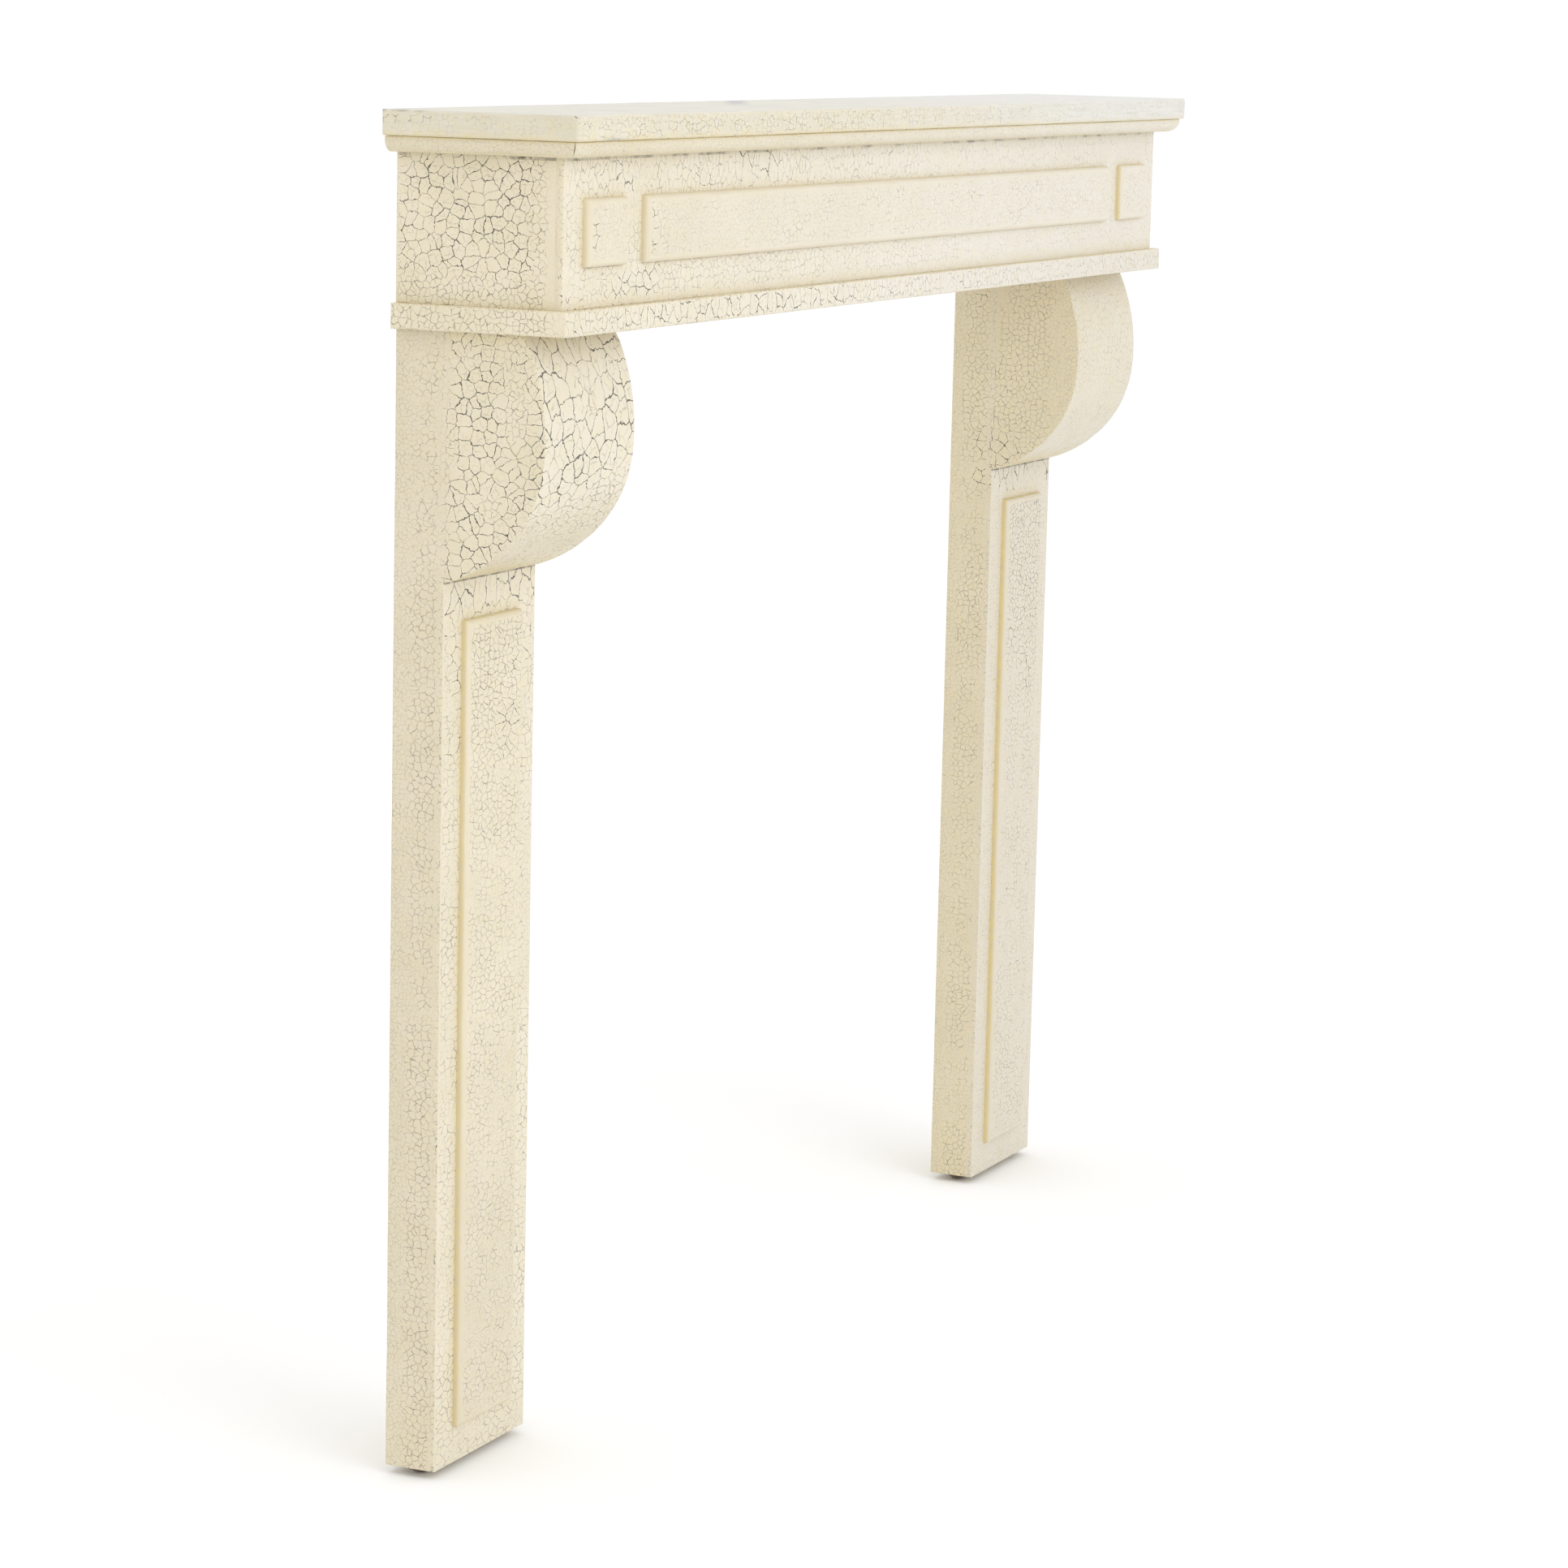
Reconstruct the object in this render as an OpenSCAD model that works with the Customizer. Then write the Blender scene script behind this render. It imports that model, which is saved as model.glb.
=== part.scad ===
// Fireplace mantelpiece, made of painted boards.
// A plain board shelf lies on a shallow hollow frieze box with a bed moulding round its head
// and a projecting base board under it. Two plank pilasters, faced with thin board, carry it.
// A bowed corbel sits at the head of each, and raised panels lie on the frieze and the pilasters.
//
// Axes: +X to the right, +Y into the wall, +Z up. The wall plane is y = 0.
// The origin is the middle of the shelf's back edge, where the mantelpiece meets the wall.
// All sizes are in millimetres.

/* [Overall] */
// Width of the frieze box, side to side
frieze_w = 1200; // [1000:10:1800]
// Depth of the frieze box, from the wall to its face
frieze_d = 137; // [110:1:220]
// Height of the frieze box, from its base board to the shelf
frieze_h = 121; // [95:1:200]
// Height of a pilaster, from its foot to the base board
pilaster_h = 860; // [600:10:1200]

/* [Shelf] */
// Thickness of the shelf board
shelf_t = 19; // [12:1:30]
// How far the shelf stands out past the frieze, at the front and at both ends
shelf_overhang = 22; // [19:1:60]

/* [Bed moulding] */
// How far the moulding stands out from the frieze
cornice_out = 18; // [12:1:19]
// Height of the moulding
cornice_h = 12; // [9:1:20]
// Radius of the moulding's rounded nose
cornice_nose = 10; // [5:0.5:11]

/* [Frieze boards] */
// Thickness of the facing boards on the frieze and on the pilasters
facing_t = 6.5; // [4:0.5:12]
// Thickness of the frieze's end boards
end_board_t = 19; // [12:1:25]
// Thickness of the base board under the frieze
base_t = 19; // [12:1:30]
// How far the base board stands out past the frieze, at the front and at both ends
base_lip = 7; // [3:1:20]

/* [Pilasters] */
// Width of a pilaster, and of its corbel
pilaster_w = 144; // [110:1:220]
// Depth of a pilaster, from the wall to its face
pilaster_d = 42.5; // [30:0.5:60]
// How far a pilaster's outer side lies in from the frieze's end
pilaster_inset = 1; // [0:0.5:20]

/* [Corbels] */
// How far a corbel's belly stands out from the pilaster's face
corbel_out = 82; // [60:1:100]
// Depth of the widest point of the belly below the base board
corbel_belly_drop = 76; // [60:1:95]
// Radius of the corbel's upper curve
corbel_upper_r = 163; // [130:1:200]
// Radius of the corbel's lower shoulder
corbel_shoulder_r = 100; // [80:1:125]
// Radius of the curve that runs into the pilaster's face
corbel_toe_r = 120; // [100:1:150]

/* [Raised panels] */
// Thickness of a raised panel
panel_t = 6; // [4:0.5:12]
// Radius of the rounded edge of a raised panel
panel_round = 4; // [1:0.5:5]
// Height of the frieze's panels
frieze_panel_h = 50; // [30:1:75]
// Length of the two short end panels of the frieze
frieze_end_panel_w = 65; // [40:1:120]
// Plain strip between an end panel and the end of the frieze
frieze_panel_margin = 30; // [20:1:60]
// Plain strip between an end panel and the long panel
frieze_panel_gap = 30; // [20:1:60]
// Plain strip at each side of a pilaster's panel, and below it
pilaster_panel_margin = 28; // [15:1:40]
// Plain strip between a pilaster's panel and the corbel above it
pilaster_panel_head = 30; // [15:1:60]

/* [Glides] */
// Diameter of a glide
glide_dia = 18; // [12:1:26]
// Height of a glide
glide_h = 7; // [5:1:12]
// Height of a glide's straight rim, above its domed sole
glide_rim = 2; // [1:0.5:4]
// Distance from a glide's middle to the side of the pilaster
glide_inset = 17; // [14:1:40]

/* [Hidden] */
$fn = 96;

ivory = [0.94, 0.90, 0.80];
ivory_shade = [0.90, 0.86, 0.75];
shelf_white = [0.91, 0.90, 0.87];
panel_ivory = [0.95, 0.92, 0.83];
taupe = [0.42, 0.33, 0.27];

// The two sides, as signs of X, and the two glides of a foot, counted from its middle.
left = -1;
right = 1;
inner = -1;
outer = 1;

// Heights of the joints between the pieces, from the shelf down.
shelf_top_z = shelf_t / 2;
shelf_under_z = -shelf_t / 2;
base_top_z = shelf_under_z - frieze_h;
base_under_z = base_top_z - base_t;
foot_z = base_under_z - pilaster_h;

// Front planes, measured from the wall.
frieze_face_y = -frieze_d;
pilaster_face_y = -pilaster_d;

// Middle of a pilaster, out from the middle of the mantelpiece.
pilaster_x = frieze_w / 2 - pilaster_inset - pilaster_w / 2;

// The middle of the frieze that shows between the moulding and the base board.
frieze_middle_z = (base_top_z + shelf_under_z - cornice_h) / 2;

// A rounding can't take the whole height of the moulding or the whole thickness of a panel.
nose_r = min(cornice_nose, cornice_h - 1);
panel_r = min(panel_round, panel_t - 1);

// The corbel's three arcs are tangent where they meet. Angles are measured down from level.
// The upper arc starts higher than the corbel's head, which cuts it off.
corbel_head_angle = -55;
corbel_shoulder_angle = 6.5;
corbel_toe_angle = 45;
corbel_upper_c = [corbel_out - corbel_upper_r, corbel_belly_drop];
corbel_shoulder_c = corbel_upper_c
    + (corbel_upper_r - corbel_shoulder_r) * direction(corbel_shoulder_angle);
corbel_toe_c = corbel_shoulder_c
    + (corbel_shoulder_r - corbel_toe_r) * direction(corbel_toe_angle);

// How far the corbel stands out at its head, just under the base board.
corbel_head_out = corbel_upper_c[0] + reach(corbel_upper_r, corbel_upper_c[1]);
// How far down the corbel's lowest curve meets the face of the pilaster.
corbel_h = corbel_toe_c[1] + reach(corbel_toe_r, corbel_toe_c[0]);

// Lowest and highest edge of a pilaster's panel.
pilaster_panel_low_z = foot_z + pilaster_panel_margin;
pilaster_panel_high_z = base_under_z - corbel_h - pilaster_panel_head;

// Unit step at an angle below level, in a section drawn as [out, down].
function direction(angle) = [cos(angle), sin(angle)];

// Half chord of a circle of radius r, at distance offset from its middle.
function reach(r, offset) = sqrt(r * r - offset * offset);

// A box from corner to corner, given as the low and high corners.
module block(low, high) {
    translate(low)
        cube(high - low);
}

// Draws a section of [out, down] and runs it along X, from x_low to x_high.
// Out is away from the wall, from the plane y; down is below the height z.
module run_along_x(x_low, x_high, y, z) {
    translate([x_low, y, z])
        rotate([90, 0, 90])
            linear_extrude(x_high - x_low)
                rotate(180)
                    children();
}

// The moulding's section: flat against the frieze and under the shelf, with a rounded nose.
module cornice_section() {
    square([cornice_out - nose_r, cornice_h]);
    square([cornice_out, cornice_h - nose_r]);
    intersection() {
        translate([cornice_out - nose_r, cornice_h - nose_r])
            circle(nose_r);
        square([cornice_out, cornice_h]);
    }
}

// The front length of moulding, cut at 45 degrees at both ends.
module cornice_front() {
    run = frieze_w / 2 + cornice_out;
    color(ivory)
        intersection() {
            run_along_x(-run, run, frieze_face_y, shelf_under_z)
                cornice_section();
            translate([0, 0, shelf_under_z - cornice_h])
                linear_extrude(cornice_h)
                    polygon([
                        [-frieze_w / 2, frieze_face_y],
                        [frieze_w / 2, frieze_face_y],
                        [run, frieze_face_y - cornice_out],
                        [-run, frieze_face_y - cornice_out]
                    ]);
        }
}

// The short length of moulding on one end, square at the wall and cut at 45 degrees in front.
module cornice_return(side) {
    end_x = frieze_w / 2;
    tip_y = frieze_face_y - cornice_out;
    color(ivory_shade)
        on_side(side)
            intersection() {
                translate([end_x, 0, 0])
                    rotate(90)
                        run_along_x(tip_y, 0, 0, shelf_under_z)
                            cornice_section();
                translate([0, 0, shelf_under_z - cornice_h])
                    linear_extrude(cornice_h)
                        polygon([
                            [end_x, 0],
                            [end_x, frieze_face_y],
                            [end_x + cornice_out, tip_y],
                            [end_x + cornice_out, 0]
                        ]);
            }
}

// Mirrors what is drawn for the right side when side is left.
module on_side(side) {
    if (side == left)
        mirror([1, 0, 0])
            children();
    else
        children();
}

// A raised panel, width along X and height along Z, its back at the plane y.
// Its four front edges are rounded, and it is centred on [x, z].
module raised_panel(x, y, z, width, height) {
    color(panel_ivory)
        translate([x, y, z])
            intersection() {
                translate([0, 0, -height / 2])
                    linear_extrude(height)
                        panel_section(width);
                rotate([0, 90, 0])
                    translate([0, 0, -width / 2])
                        linear_extrude(width)
                            panel_section(height);
            }
}

// Section through a raised panel: square at the back, rounded at the two front corners.
module panel_section(span) {
    half = span / 2;
    translate([-half, -panel_t + panel_r])
        square([span, panel_t - panel_r]);
    translate([-half + panel_r, -panel_t])
        square([span - 2 * panel_r, panel_t]);
    for (side = [left, right])
        translate([side * (half - panel_r), -panel_t + panel_r])
            intersection() {
                circle(panel_r);
                translate([-panel_r, -panel_r])
                    square([2 * panel_r, panel_r]);
            }
}

module mantel_shelf() {
    half = frieze_w / 2 + shelf_overhang;
    color(shelf_white)
        block([-half, frieze_face_y - shelf_overhang, shelf_under_z], [half, 0, shelf_top_z]);
}

module frieze_front() {
    color(ivory)
        block([-frieze_w / 2, frieze_face_y, base_top_z],
              [frieze_w / 2, frieze_face_y + facing_t, shelf_under_z]);
}

module frieze_end(side) {
    color(ivory_shade)
        on_side(side)
            block([frieze_w / 2 - end_board_t, frieze_face_y + facing_t, base_top_z],
                  [frieze_w / 2, 0, shelf_under_z]);
}

module frieze_base() {
    half = frieze_w / 2 + base_lip;
    color(ivory)
        block([-half, frieze_face_y - base_lip, base_under_z], [half, 0, base_top_z]);
}

module frieze_end_panel(side) {
    x = frieze_w / 2 - frieze_panel_margin - frieze_end_panel_w / 2;
    raised_panel(side * x, frieze_face_y, frieze_middle_z, frieze_end_panel_w, frieze_panel_h);
}

module frieze_panel_centre() {
    length = frieze_w - 2 * (frieze_panel_margin + frieze_end_panel_w + frieze_panel_gap);
    raised_panel(0, frieze_face_y, frieze_middle_z, length, frieze_panel_h);
}

// The plank that carries the load, behind its facing.
module pilaster_post(side) {
    color(ivory_shade)
        translate([side * pilaster_x, 0, 0])
            block([-pilaster_w / 2, pilaster_face_y + facing_t, foot_z],
                  [pilaster_w / 2, 0, base_under_z]);
}

module pilaster_face(side) {
    color(ivory)
        translate([side * pilaster_x, 0, 0])
            block([-pilaster_w / 2, pilaster_face_y, foot_z],
                  [pilaster_w / 2, pilaster_face_y + facing_t, base_under_z]);
}

module pilaster_panel(side) {
    raised_panel(side * pilaster_x, pilaster_face_y,
                 (pilaster_panel_low_z + pilaster_panel_high_z) / 2,
                 pilaster_w - 2 * pilaster_panel_margin,
                 pilaster_panel_high_z - pilaster_panel_low_z);
}

// One pie slice of a disc, between two angles below level, in a section of [out, down].
module slice(centre, r, from_angle, to_angle) {
    intersection() {
        translate(centre)
            circle(r, $fn = 180);
        polygon([
            centre,
            centre + 2 * r * direction(from_angle),
            centre + 2 * r * direction(to_angle)
        ]);
    }
}

// The corbel's section: flat under the base board and against the pilaster, bowed in front.
module corbel_section() {
    toe_end_angle = atan2(corbel_h - corbel_toe_c[1], -corbel_toe_c[0]);
    intersection() {
        square([corbel_out + 1, corbel_h]);
        union() {
            polygon([
                [0, 0],
                [corbel_head_out, 0],
                [corbel_head_out, corbel_belly_drop],
                [0, corbel_h]
            ]);
            slice(corbel_upper_c, corbel_upper_r, corbel_head_angle, corbel_shoulder_angle);
            slice(corbel_shoulder_c, corbel_shoulder_r, corbel_shoulder_angle, corbel_toe_angle);
            slice(corbel_toe_c, corbel_toe_r, corbel_toe_angle, toe_end_angle + 1);
        }
    }
}

module corbel(side) {
    middle = side * pilaster_x;
    color(ivory)
        run_along_x(middle - pilaster_w / 2, middle + pilaster_w / 2,
                    pilaster_face_y, base_under_z)
            corbel_section();
}

// A domed glide under the foot. Place is outer or inner, counted from the end of the mantelpiece.
module glide(side, place) {
    x = side * (pilaster_x + place * (pilaster_w / 2 - glide_inset));
    dome_h = glide_h - glide_rim;
    dome_r = (pow(glide_dia / 2, 2) + pow(dome_h, 2)) / (2 * dome_h);
    color(taupe)
        translate([x, pilaster_face_y / 2, foot_z - glide_h])
            intersection() {
                cylinder(h = glide_h, d = glide_dia);
                union() {
                    translate([0, 0, dome_r])
                        sphere(dome_r);
                    translate([0, 0, dome_h])
                        cylinder(h = glide_rim, d = glide_dia);
                }
            }
}

mantel_shelf();
cornice_front();
cornice_return(left);  // cornice_left
cornice_return(right);  // cornice_right
frieze_front();
frieze_end(left);  // frieze_end_left
frieze_end(right);  // frieze_end_right
frieze_base();
frieze_end_panel(left);  // frieze_panel_left
frieze_panel_centre();
frieze_end_panel(right);  // frieze_panel_right
pilaster_post(left);  // pilaster_post_left
pilaster_post(right);  // pilaster_post_right
pilaster_face(left);  // pilaster_face_left
pilaster_face(right);  // pilaster_face_right
pilaster_panel(left);  // pilaster_panel_left
pilaster_panel(right);  // pilaster_panel_right
corbel(left);  // corbel_left
corbel(right);  // corbel_right
glide(left, outer);  // glide_left_outer
glide(left, inner);  // glide_left_inner
glide(right, outer);  // glide_right_outer
glide(right, inner);  // glide_right_inner
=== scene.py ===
import logging
import math
from contextlib import contextmanager
from dataclasses import dataclass, field
from enum import Enum
from typing import Callable, Iterator, Optional, Union

import bmesh
import bpy
import numpy as np
from mathutils import Matrix, Vector, noise


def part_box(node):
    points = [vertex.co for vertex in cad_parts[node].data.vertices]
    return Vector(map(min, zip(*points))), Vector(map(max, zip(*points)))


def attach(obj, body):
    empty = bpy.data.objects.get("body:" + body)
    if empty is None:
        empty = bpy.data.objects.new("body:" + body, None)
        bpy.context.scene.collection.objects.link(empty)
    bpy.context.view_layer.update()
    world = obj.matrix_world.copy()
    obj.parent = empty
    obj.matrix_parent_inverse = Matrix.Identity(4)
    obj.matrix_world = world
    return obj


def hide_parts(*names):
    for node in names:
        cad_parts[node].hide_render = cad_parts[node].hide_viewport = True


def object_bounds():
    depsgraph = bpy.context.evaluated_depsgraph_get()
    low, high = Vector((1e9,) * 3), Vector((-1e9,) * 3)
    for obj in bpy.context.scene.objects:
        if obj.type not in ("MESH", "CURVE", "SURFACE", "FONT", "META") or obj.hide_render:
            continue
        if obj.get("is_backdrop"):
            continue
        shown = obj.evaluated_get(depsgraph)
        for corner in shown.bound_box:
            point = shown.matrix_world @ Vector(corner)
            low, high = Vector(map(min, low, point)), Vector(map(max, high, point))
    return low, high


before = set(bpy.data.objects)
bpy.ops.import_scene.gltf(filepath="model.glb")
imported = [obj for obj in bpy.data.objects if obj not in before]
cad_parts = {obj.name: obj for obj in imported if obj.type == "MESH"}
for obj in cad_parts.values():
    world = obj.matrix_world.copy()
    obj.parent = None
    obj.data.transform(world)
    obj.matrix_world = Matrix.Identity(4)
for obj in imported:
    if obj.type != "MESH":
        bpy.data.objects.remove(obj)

log = logging.getLogger("mantelpiece")

MM = 0.001
PAINT_MAP = "paint"
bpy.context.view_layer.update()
TOUCH = 1e-7  # metres within which a point counts as on a plane
SMOOTH_UNDER = 38.0  # degrees between faces that still shade as one
EDGE_GAPS = (2.6, 4.6)  # mm from a board's sides to its first grid lines
THIN_BOARD = 14.0  # mm under which a board has no such lines
LEAST_GAP = 0.55  # mm between grid lines
PLANES_PER_METRE = 250.0  # planes closer than this share one part of the paint map
AXIS_KEY, SIGN_KEY = 1013.0, 411.0  # tell the six sides of a piece apart
MAP_MOVES = ((0.377, 19.0), (0.751, 17.0))  # rate and reach of the map's moves, in metres
PATCH_MOVE = (3.17, 5.31, 7.73)  # how a seed moves a random pattern
PATCH_GAIN = 0.8  # spreads the noise over 0 to 1
PANEL_SPANS = ((-570, -505), (-475, 475), (505, 570))  # mm, of the frieze's panels
JOINT = -21.5  # mm, under side of the moulding
JOINT_ROWS = tuple(JOINT - gap for gap in (1.3, 2.2, 2.5, 2.8))  # mm, grid lines under it
PANEL_FOOT = -101.0  # mm, under edge of the frieze's panels
LEG_MIDDLE = 527.0  # mm from the middle of the mantelpiece to the middle of a leg
Feed = Union[float, tuple, bpy.types.NodeSocket]
Numbers = np.ndarray


def linear(red: int, green: int, blue: int) -> tuple[float, float, float, float]:
    """Turn a screen colour into the linear colour that a shader takes.

    Args:
        red: Red, 0 to 255.
        green: Green, 0 to 255.
        blue: Blue, 0 to 255.

    Returns:
        The linear colour, with full opacity.
    """
    parts = [value / 255.0 for value in (red, green, blue)]
    curve = [c / 12.92 if c <= 0.04045 else ((c + 0.055) / 1.055) ** 2.4 for c in parts]
    return (curve[0], curve[1], curve[2], 1.0)


def rise(value: Numbers, start: float, end: float) -> Numbers:
    """Ease from 0 at start to 1 at end, with flat ends.

    Args:
        value: The values to ease.
        start: Where the result is 0.
        end: Where the result is 1; it may be below start.

    Returns:
        The eased values.
    """
    t = np.clip((value - start) / (end - start), 0.0, 1.0)
    return t * t * (3.0 - 2.0 * t)


def hump(value: Numbers, middle: float, reach: float) -> Numbers:
    """Rise to 1 at middle and fall to 0 at reach on either side of it."""
    return rise(np.abs(value - middle), reach, 0.0)


# ---------------------------------------------------------------- surfaces

class Side(Enum):
    """A side of a board, as an axis and a sign."""

    LEFT = (0, -1)
    RIGHT = (0, 1)
    FRONT = (1, -1)
    BACK = (1, 1)
    UNDER = (2, -1)
    TOP = (2, 1)


@dataclass
class Skin:
    """The points of a finished mesh, and the paint's strengths at each.

    The strengths are 0 to 1: bold, mid and fine cracks, pooled glaze mixed with painted shade,
    dark open joints and a painted contact shadow, worn grey patches, bare wood, a painted sheen
    that whitens the ivory where light would glance off it, and painted shade that darkens it.
    """

    at: Numbers
    facing: Numbers
    low: Numbers
    high: Numbers
    bold: Numbers = field(init=False)
    mid: Numbers = field(init=False)
    fine: Numbers = field(init=False)
    glaze_and_shade: Numbers = field(init=False)
    seam: Numbers = field(init=False)
    worn: Numbers = field(init=False)
    bare: Numbers = field(init=False)
    pale: Numbers = field(init=False)
    painted_shade: Numbers = field(init=False)

    def __post_init__(self) -> None:
        """Start every strength at nothing."""
        for name in self.strengths():
            setattr(self, name, np.zeros(len(self.at)))

    @staticmethod
    def strengths() -> tuple[str, ...]:
        """Name the strengths, as the paint's nodes read them."""
        return ("bold", "mid", "fine", "glaze_and_shade", "seam", "worn", "bare", "pale", "painted_shade")

    @property
    def x(self) -> Numbers:
        """Distance right of the middle, in mm."""
        return self.at[:, 0] / MM

    @property
    def y(self) -> Numbers:
        """Distance into the wall, in mm."""
        return self.at[:, 1] / MM

    @property
    def z(self) -> Numbers:
        """Height above the shelf's middle, in mm."""
        return self.at[:, 2] / MM

    def looks(self, side: Side) -> Numbers:
        """Say how far each point faces a side, 0 to 1."""
        axis, sign = side.value
        return rise(self.facing[:, axis] * sign, 0.3, 0.65)

    def gap(self, side: Side) -> Numbers:
        """Measure each point's distance from a side of the board.

        Args:
            side: The side.

        Returns:
            The distances, in mm.
        """
        axis, sign = side.value
        plane = self.high[axis] if sign > 0 else self.low[axis]
        return np.abs(self.at[:, axis] - plane) / MM

    def patches(self, size: float, seed: float) -> Numbers:
        """Soft random patches over the surface.

        Args:
            size: Rough size of a patch, in mm.
            seed: Moves the pattern.

        Returns:
            A value for each point, mostly 0 to 1, 0.5 on average.
        """
        scale = 1.0 / (size * MM)
        move = Vector([seed * step for step in PATCH_MOVE])
        values = [noise.noise(Vector(point) * scale + move) for point in self.at]
        return np.clip(0.5 + PATCH_GAIN * np.array(values), 0.0, 1.0)

    def lift(self, name: str, value: Numbers) -> None:
        """Raise a strength wherever a value is larger."""
        setattr(self, name, np.maximum(getattr(self, name), value))

    def quiet_back(self) -> None:
        """Leave the back, which stands against the wall, in plainer paint."""
        behind = self.looks(Side.BACK)
        self.bold *= 1.0 - behind
        self.mid *= 1.0 - 0.75 * behind
        self.fine *= 1.0 - 0.5 * behind
        self.seam *= 1.0 - behind
        # painted shade on the back, which stands against the wall
        self.lift("painted_shade", 0.2 * behind)

    def calm_edges(self, sides: tuple[Side, ...], start: float, end: float) -> None:
        """Let the cracks die out towards some sides of the board.

        Args:
            sides: The sides.
            start: Distance from the side where cracks are gone, in mm.
            end: Distance where they are at full strength, in mm.
        """
        for side in sides:
            keep = rise(self.gap(side), start, end)
            keep = np.maximum(keep, self.looks(side))
            self.bold *= keep
            self.mid *= 0.25 + 0.75 * keep
            self.fine *= 0.4 + 0.6 * keep


# ---------------------------------------------------------------- finishes

class Recipe:
    """Builds a material's nodes one at a time."""

    def __init__(self, tree: bpy.types.NodeTree) -> None:
        """Keep the tree that the nodes go into."""
        self.tree = tree

    def add(self, kind: str, feeds: dict, **settings: object) -> bpy.types.Node:
        """Add a node.

        Args:
            kind: The node's type name.
            feeds: A value or a socket for each input, by name or number.
            **settings: The node's own settings.

        Returns:
            The new node.
        """
        node = self.tree.nodes.new(kind)
        for key, value in settings.items():
            setattr(node, key, value)
        for key, value in feeds.items():
            socket = node.inputs[key]
            if isinstance(value, bpy.types.NodeSocket):
                self.tree.links.new(value, socket)
            else:
                socket.default_value = value
        return node

    def sum(self, operation: str, first: Feed, second: Feed = 0.0) -> bpy.types.NodeSocket:
        """Do arithmetic on two values."""
        return self.add("ShaderNodeMath", {0: first, 1: second}, operation=operation).outputs[0]

    def times(self, first: Feed, second: Feed) -> bpy.types.NodeSocket:
        """Multiply two values."""
        return self.sum("MULTIPLY", first, second)

    def plus(self, first: Feed, second: Feed) -> bpy.types.NodeSocket:
        """Add two values."""
        return self.sum("ADD", first, second)

    def minus(self, first: Feed, second: Feed) -> bpy.types.NodeSocket:
        """Take the second value from the first."""
        return self.sum("SUBTRACT", first, second)

    def place(self, operation: str, first: Feed, second: Feed) -> bpy.types.NodeSocket:
        """Do arithmetic on two vectors."""
        node = self.add("ShaderNodeVectorMath", {0: first, 1: second}, operation=operation)
        return node.outputs[0]

    def ramp(self, value: Feed, low: Feed, high: Feed, start: Feed = 0.0,
             end: Feed = 1.0) -> bpy.types.NodeSocket:
        """Ease a value from one range into another.

        Args:
            value: The value.
            low: Bottom of its range.
            high: Top of its range.
            start: The result at the bottom.
            end: The result at the top.

        Returns:
            The eased value.
        """
        feeds = {"Value": value, "From Min": low, "From Max": high, "To Min": start,
                 "To Max": end}
        node = self.add("ShaderNodeMapRange", feeds, interpolation_type="SMOOTHSTEP")
        return node.outputs["Result"]

    def noise(self, where: Feed, size: float, detail: float = 2.0, rough: float = 0.5,
              output: str = "Fac") -> bpy.types.NodeSocket:
        """Add a noise over the surface.

        Args:
            where: The place on the surface, in metres.
            size: Size of its features, in mm.
            detail: How many finer layers it has.
            rough: How strong the finer layers are.
            output: Which of its outputs is wanted.

        Returns:
            The noise.
        """
        feeds = {"Vector": where, "Scale": 1.0 / (size * MM), "Detail": detail,
                 "Roughness": rough}
        return self.add("ShaderNodeTexNoise", feeds, noise_dimensions="2D").outputs[output]

    def cells(self, where: Feed, size: float, scatter: float, feature: str) -> bpy.types.Node:
        """Add a pattern of cells.

        Args:
            where: The place on the surface, in metres.
            size: Size of a cell, in mm.
            scatter: How irregular the cells are, 0 to 1.
            feature: What the pattern measures.

        Returns:
            The pattern's node.
        """
        feeds = {"Vector": where, "Scale": 1.0 / (size * MM), "Randomness": scatter}
        return self.add("ShaderNodeTexVoronoi", feeds, voronoi_dimensions="2D",
                        feature=feature)

    def blend(self, amount: Feed, first: Feed, second: Feed) -> bpy.types.NodeSocket:
        """Blend two colours.

        Args:
            amount: How much of the second there is, 0 to 1.
            first: The first colour.
            second: The second colour.

        Returns:
            The blended colour.
        """
        node = self.add("ShaderNodeMix", {"Factor": amount}, data_type="RGBA")
        for socket, value in ((node.inputs[6], first), (node.inputs[7], second)):
            if isinstance(value, bpy.types.NodeSocket):
                self.tree.links.new(value, socket)
            else:
                socket.default_value = value
        return node.outputs[2]

    def strength(self, name: str) -> bpy.types.NodeSocket:
        """Read one of the strengths that a piece carries at its points."""
        return self.add("ShaderNodeAttribute", {}, attribute_name=name).outputs["Fac"]


def new_material(name: str) -> tuple[bpy.types.Material, Recipe, bpy.types.Node]:
    """Make a material with an empty tree and its shader.

    Args:
        name: The material's name.

    Returns:
        The material, its recipe and its shader.
    """
    material = bpy.data.materials.new(name)
    material.use_nodes = True
    tree = material.node_tree
    tree.nodes.clear()
    recipe = Recipe(tree)
    shader = recipe.add("ShaderNodeBsdfPrincipled", {})
    recipe.add("ShaderNodeOutputMaterial", {"Surface": shader.outputs[0]})
    return material, recipe, shader


@dataclass(frozen=True)
class Crack:
    """One size of crack: its cells and its lines.

    Attributes:
        cell: Size of a cell, in mm.
        line: Half the width of a line, in mm.
        scatter: How irregular the cells are, 0 to 1.
        depth: How deep the line cuts, 0 to 1.
        shade: How much of the line's colour covers the paint, 0 to 1.
        broken: Share of the lines that is missing, 0 to 1.
    """

    cell: float
    line: float
    scatter: float
    depth: float
    shade: float
    broken: float


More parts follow.
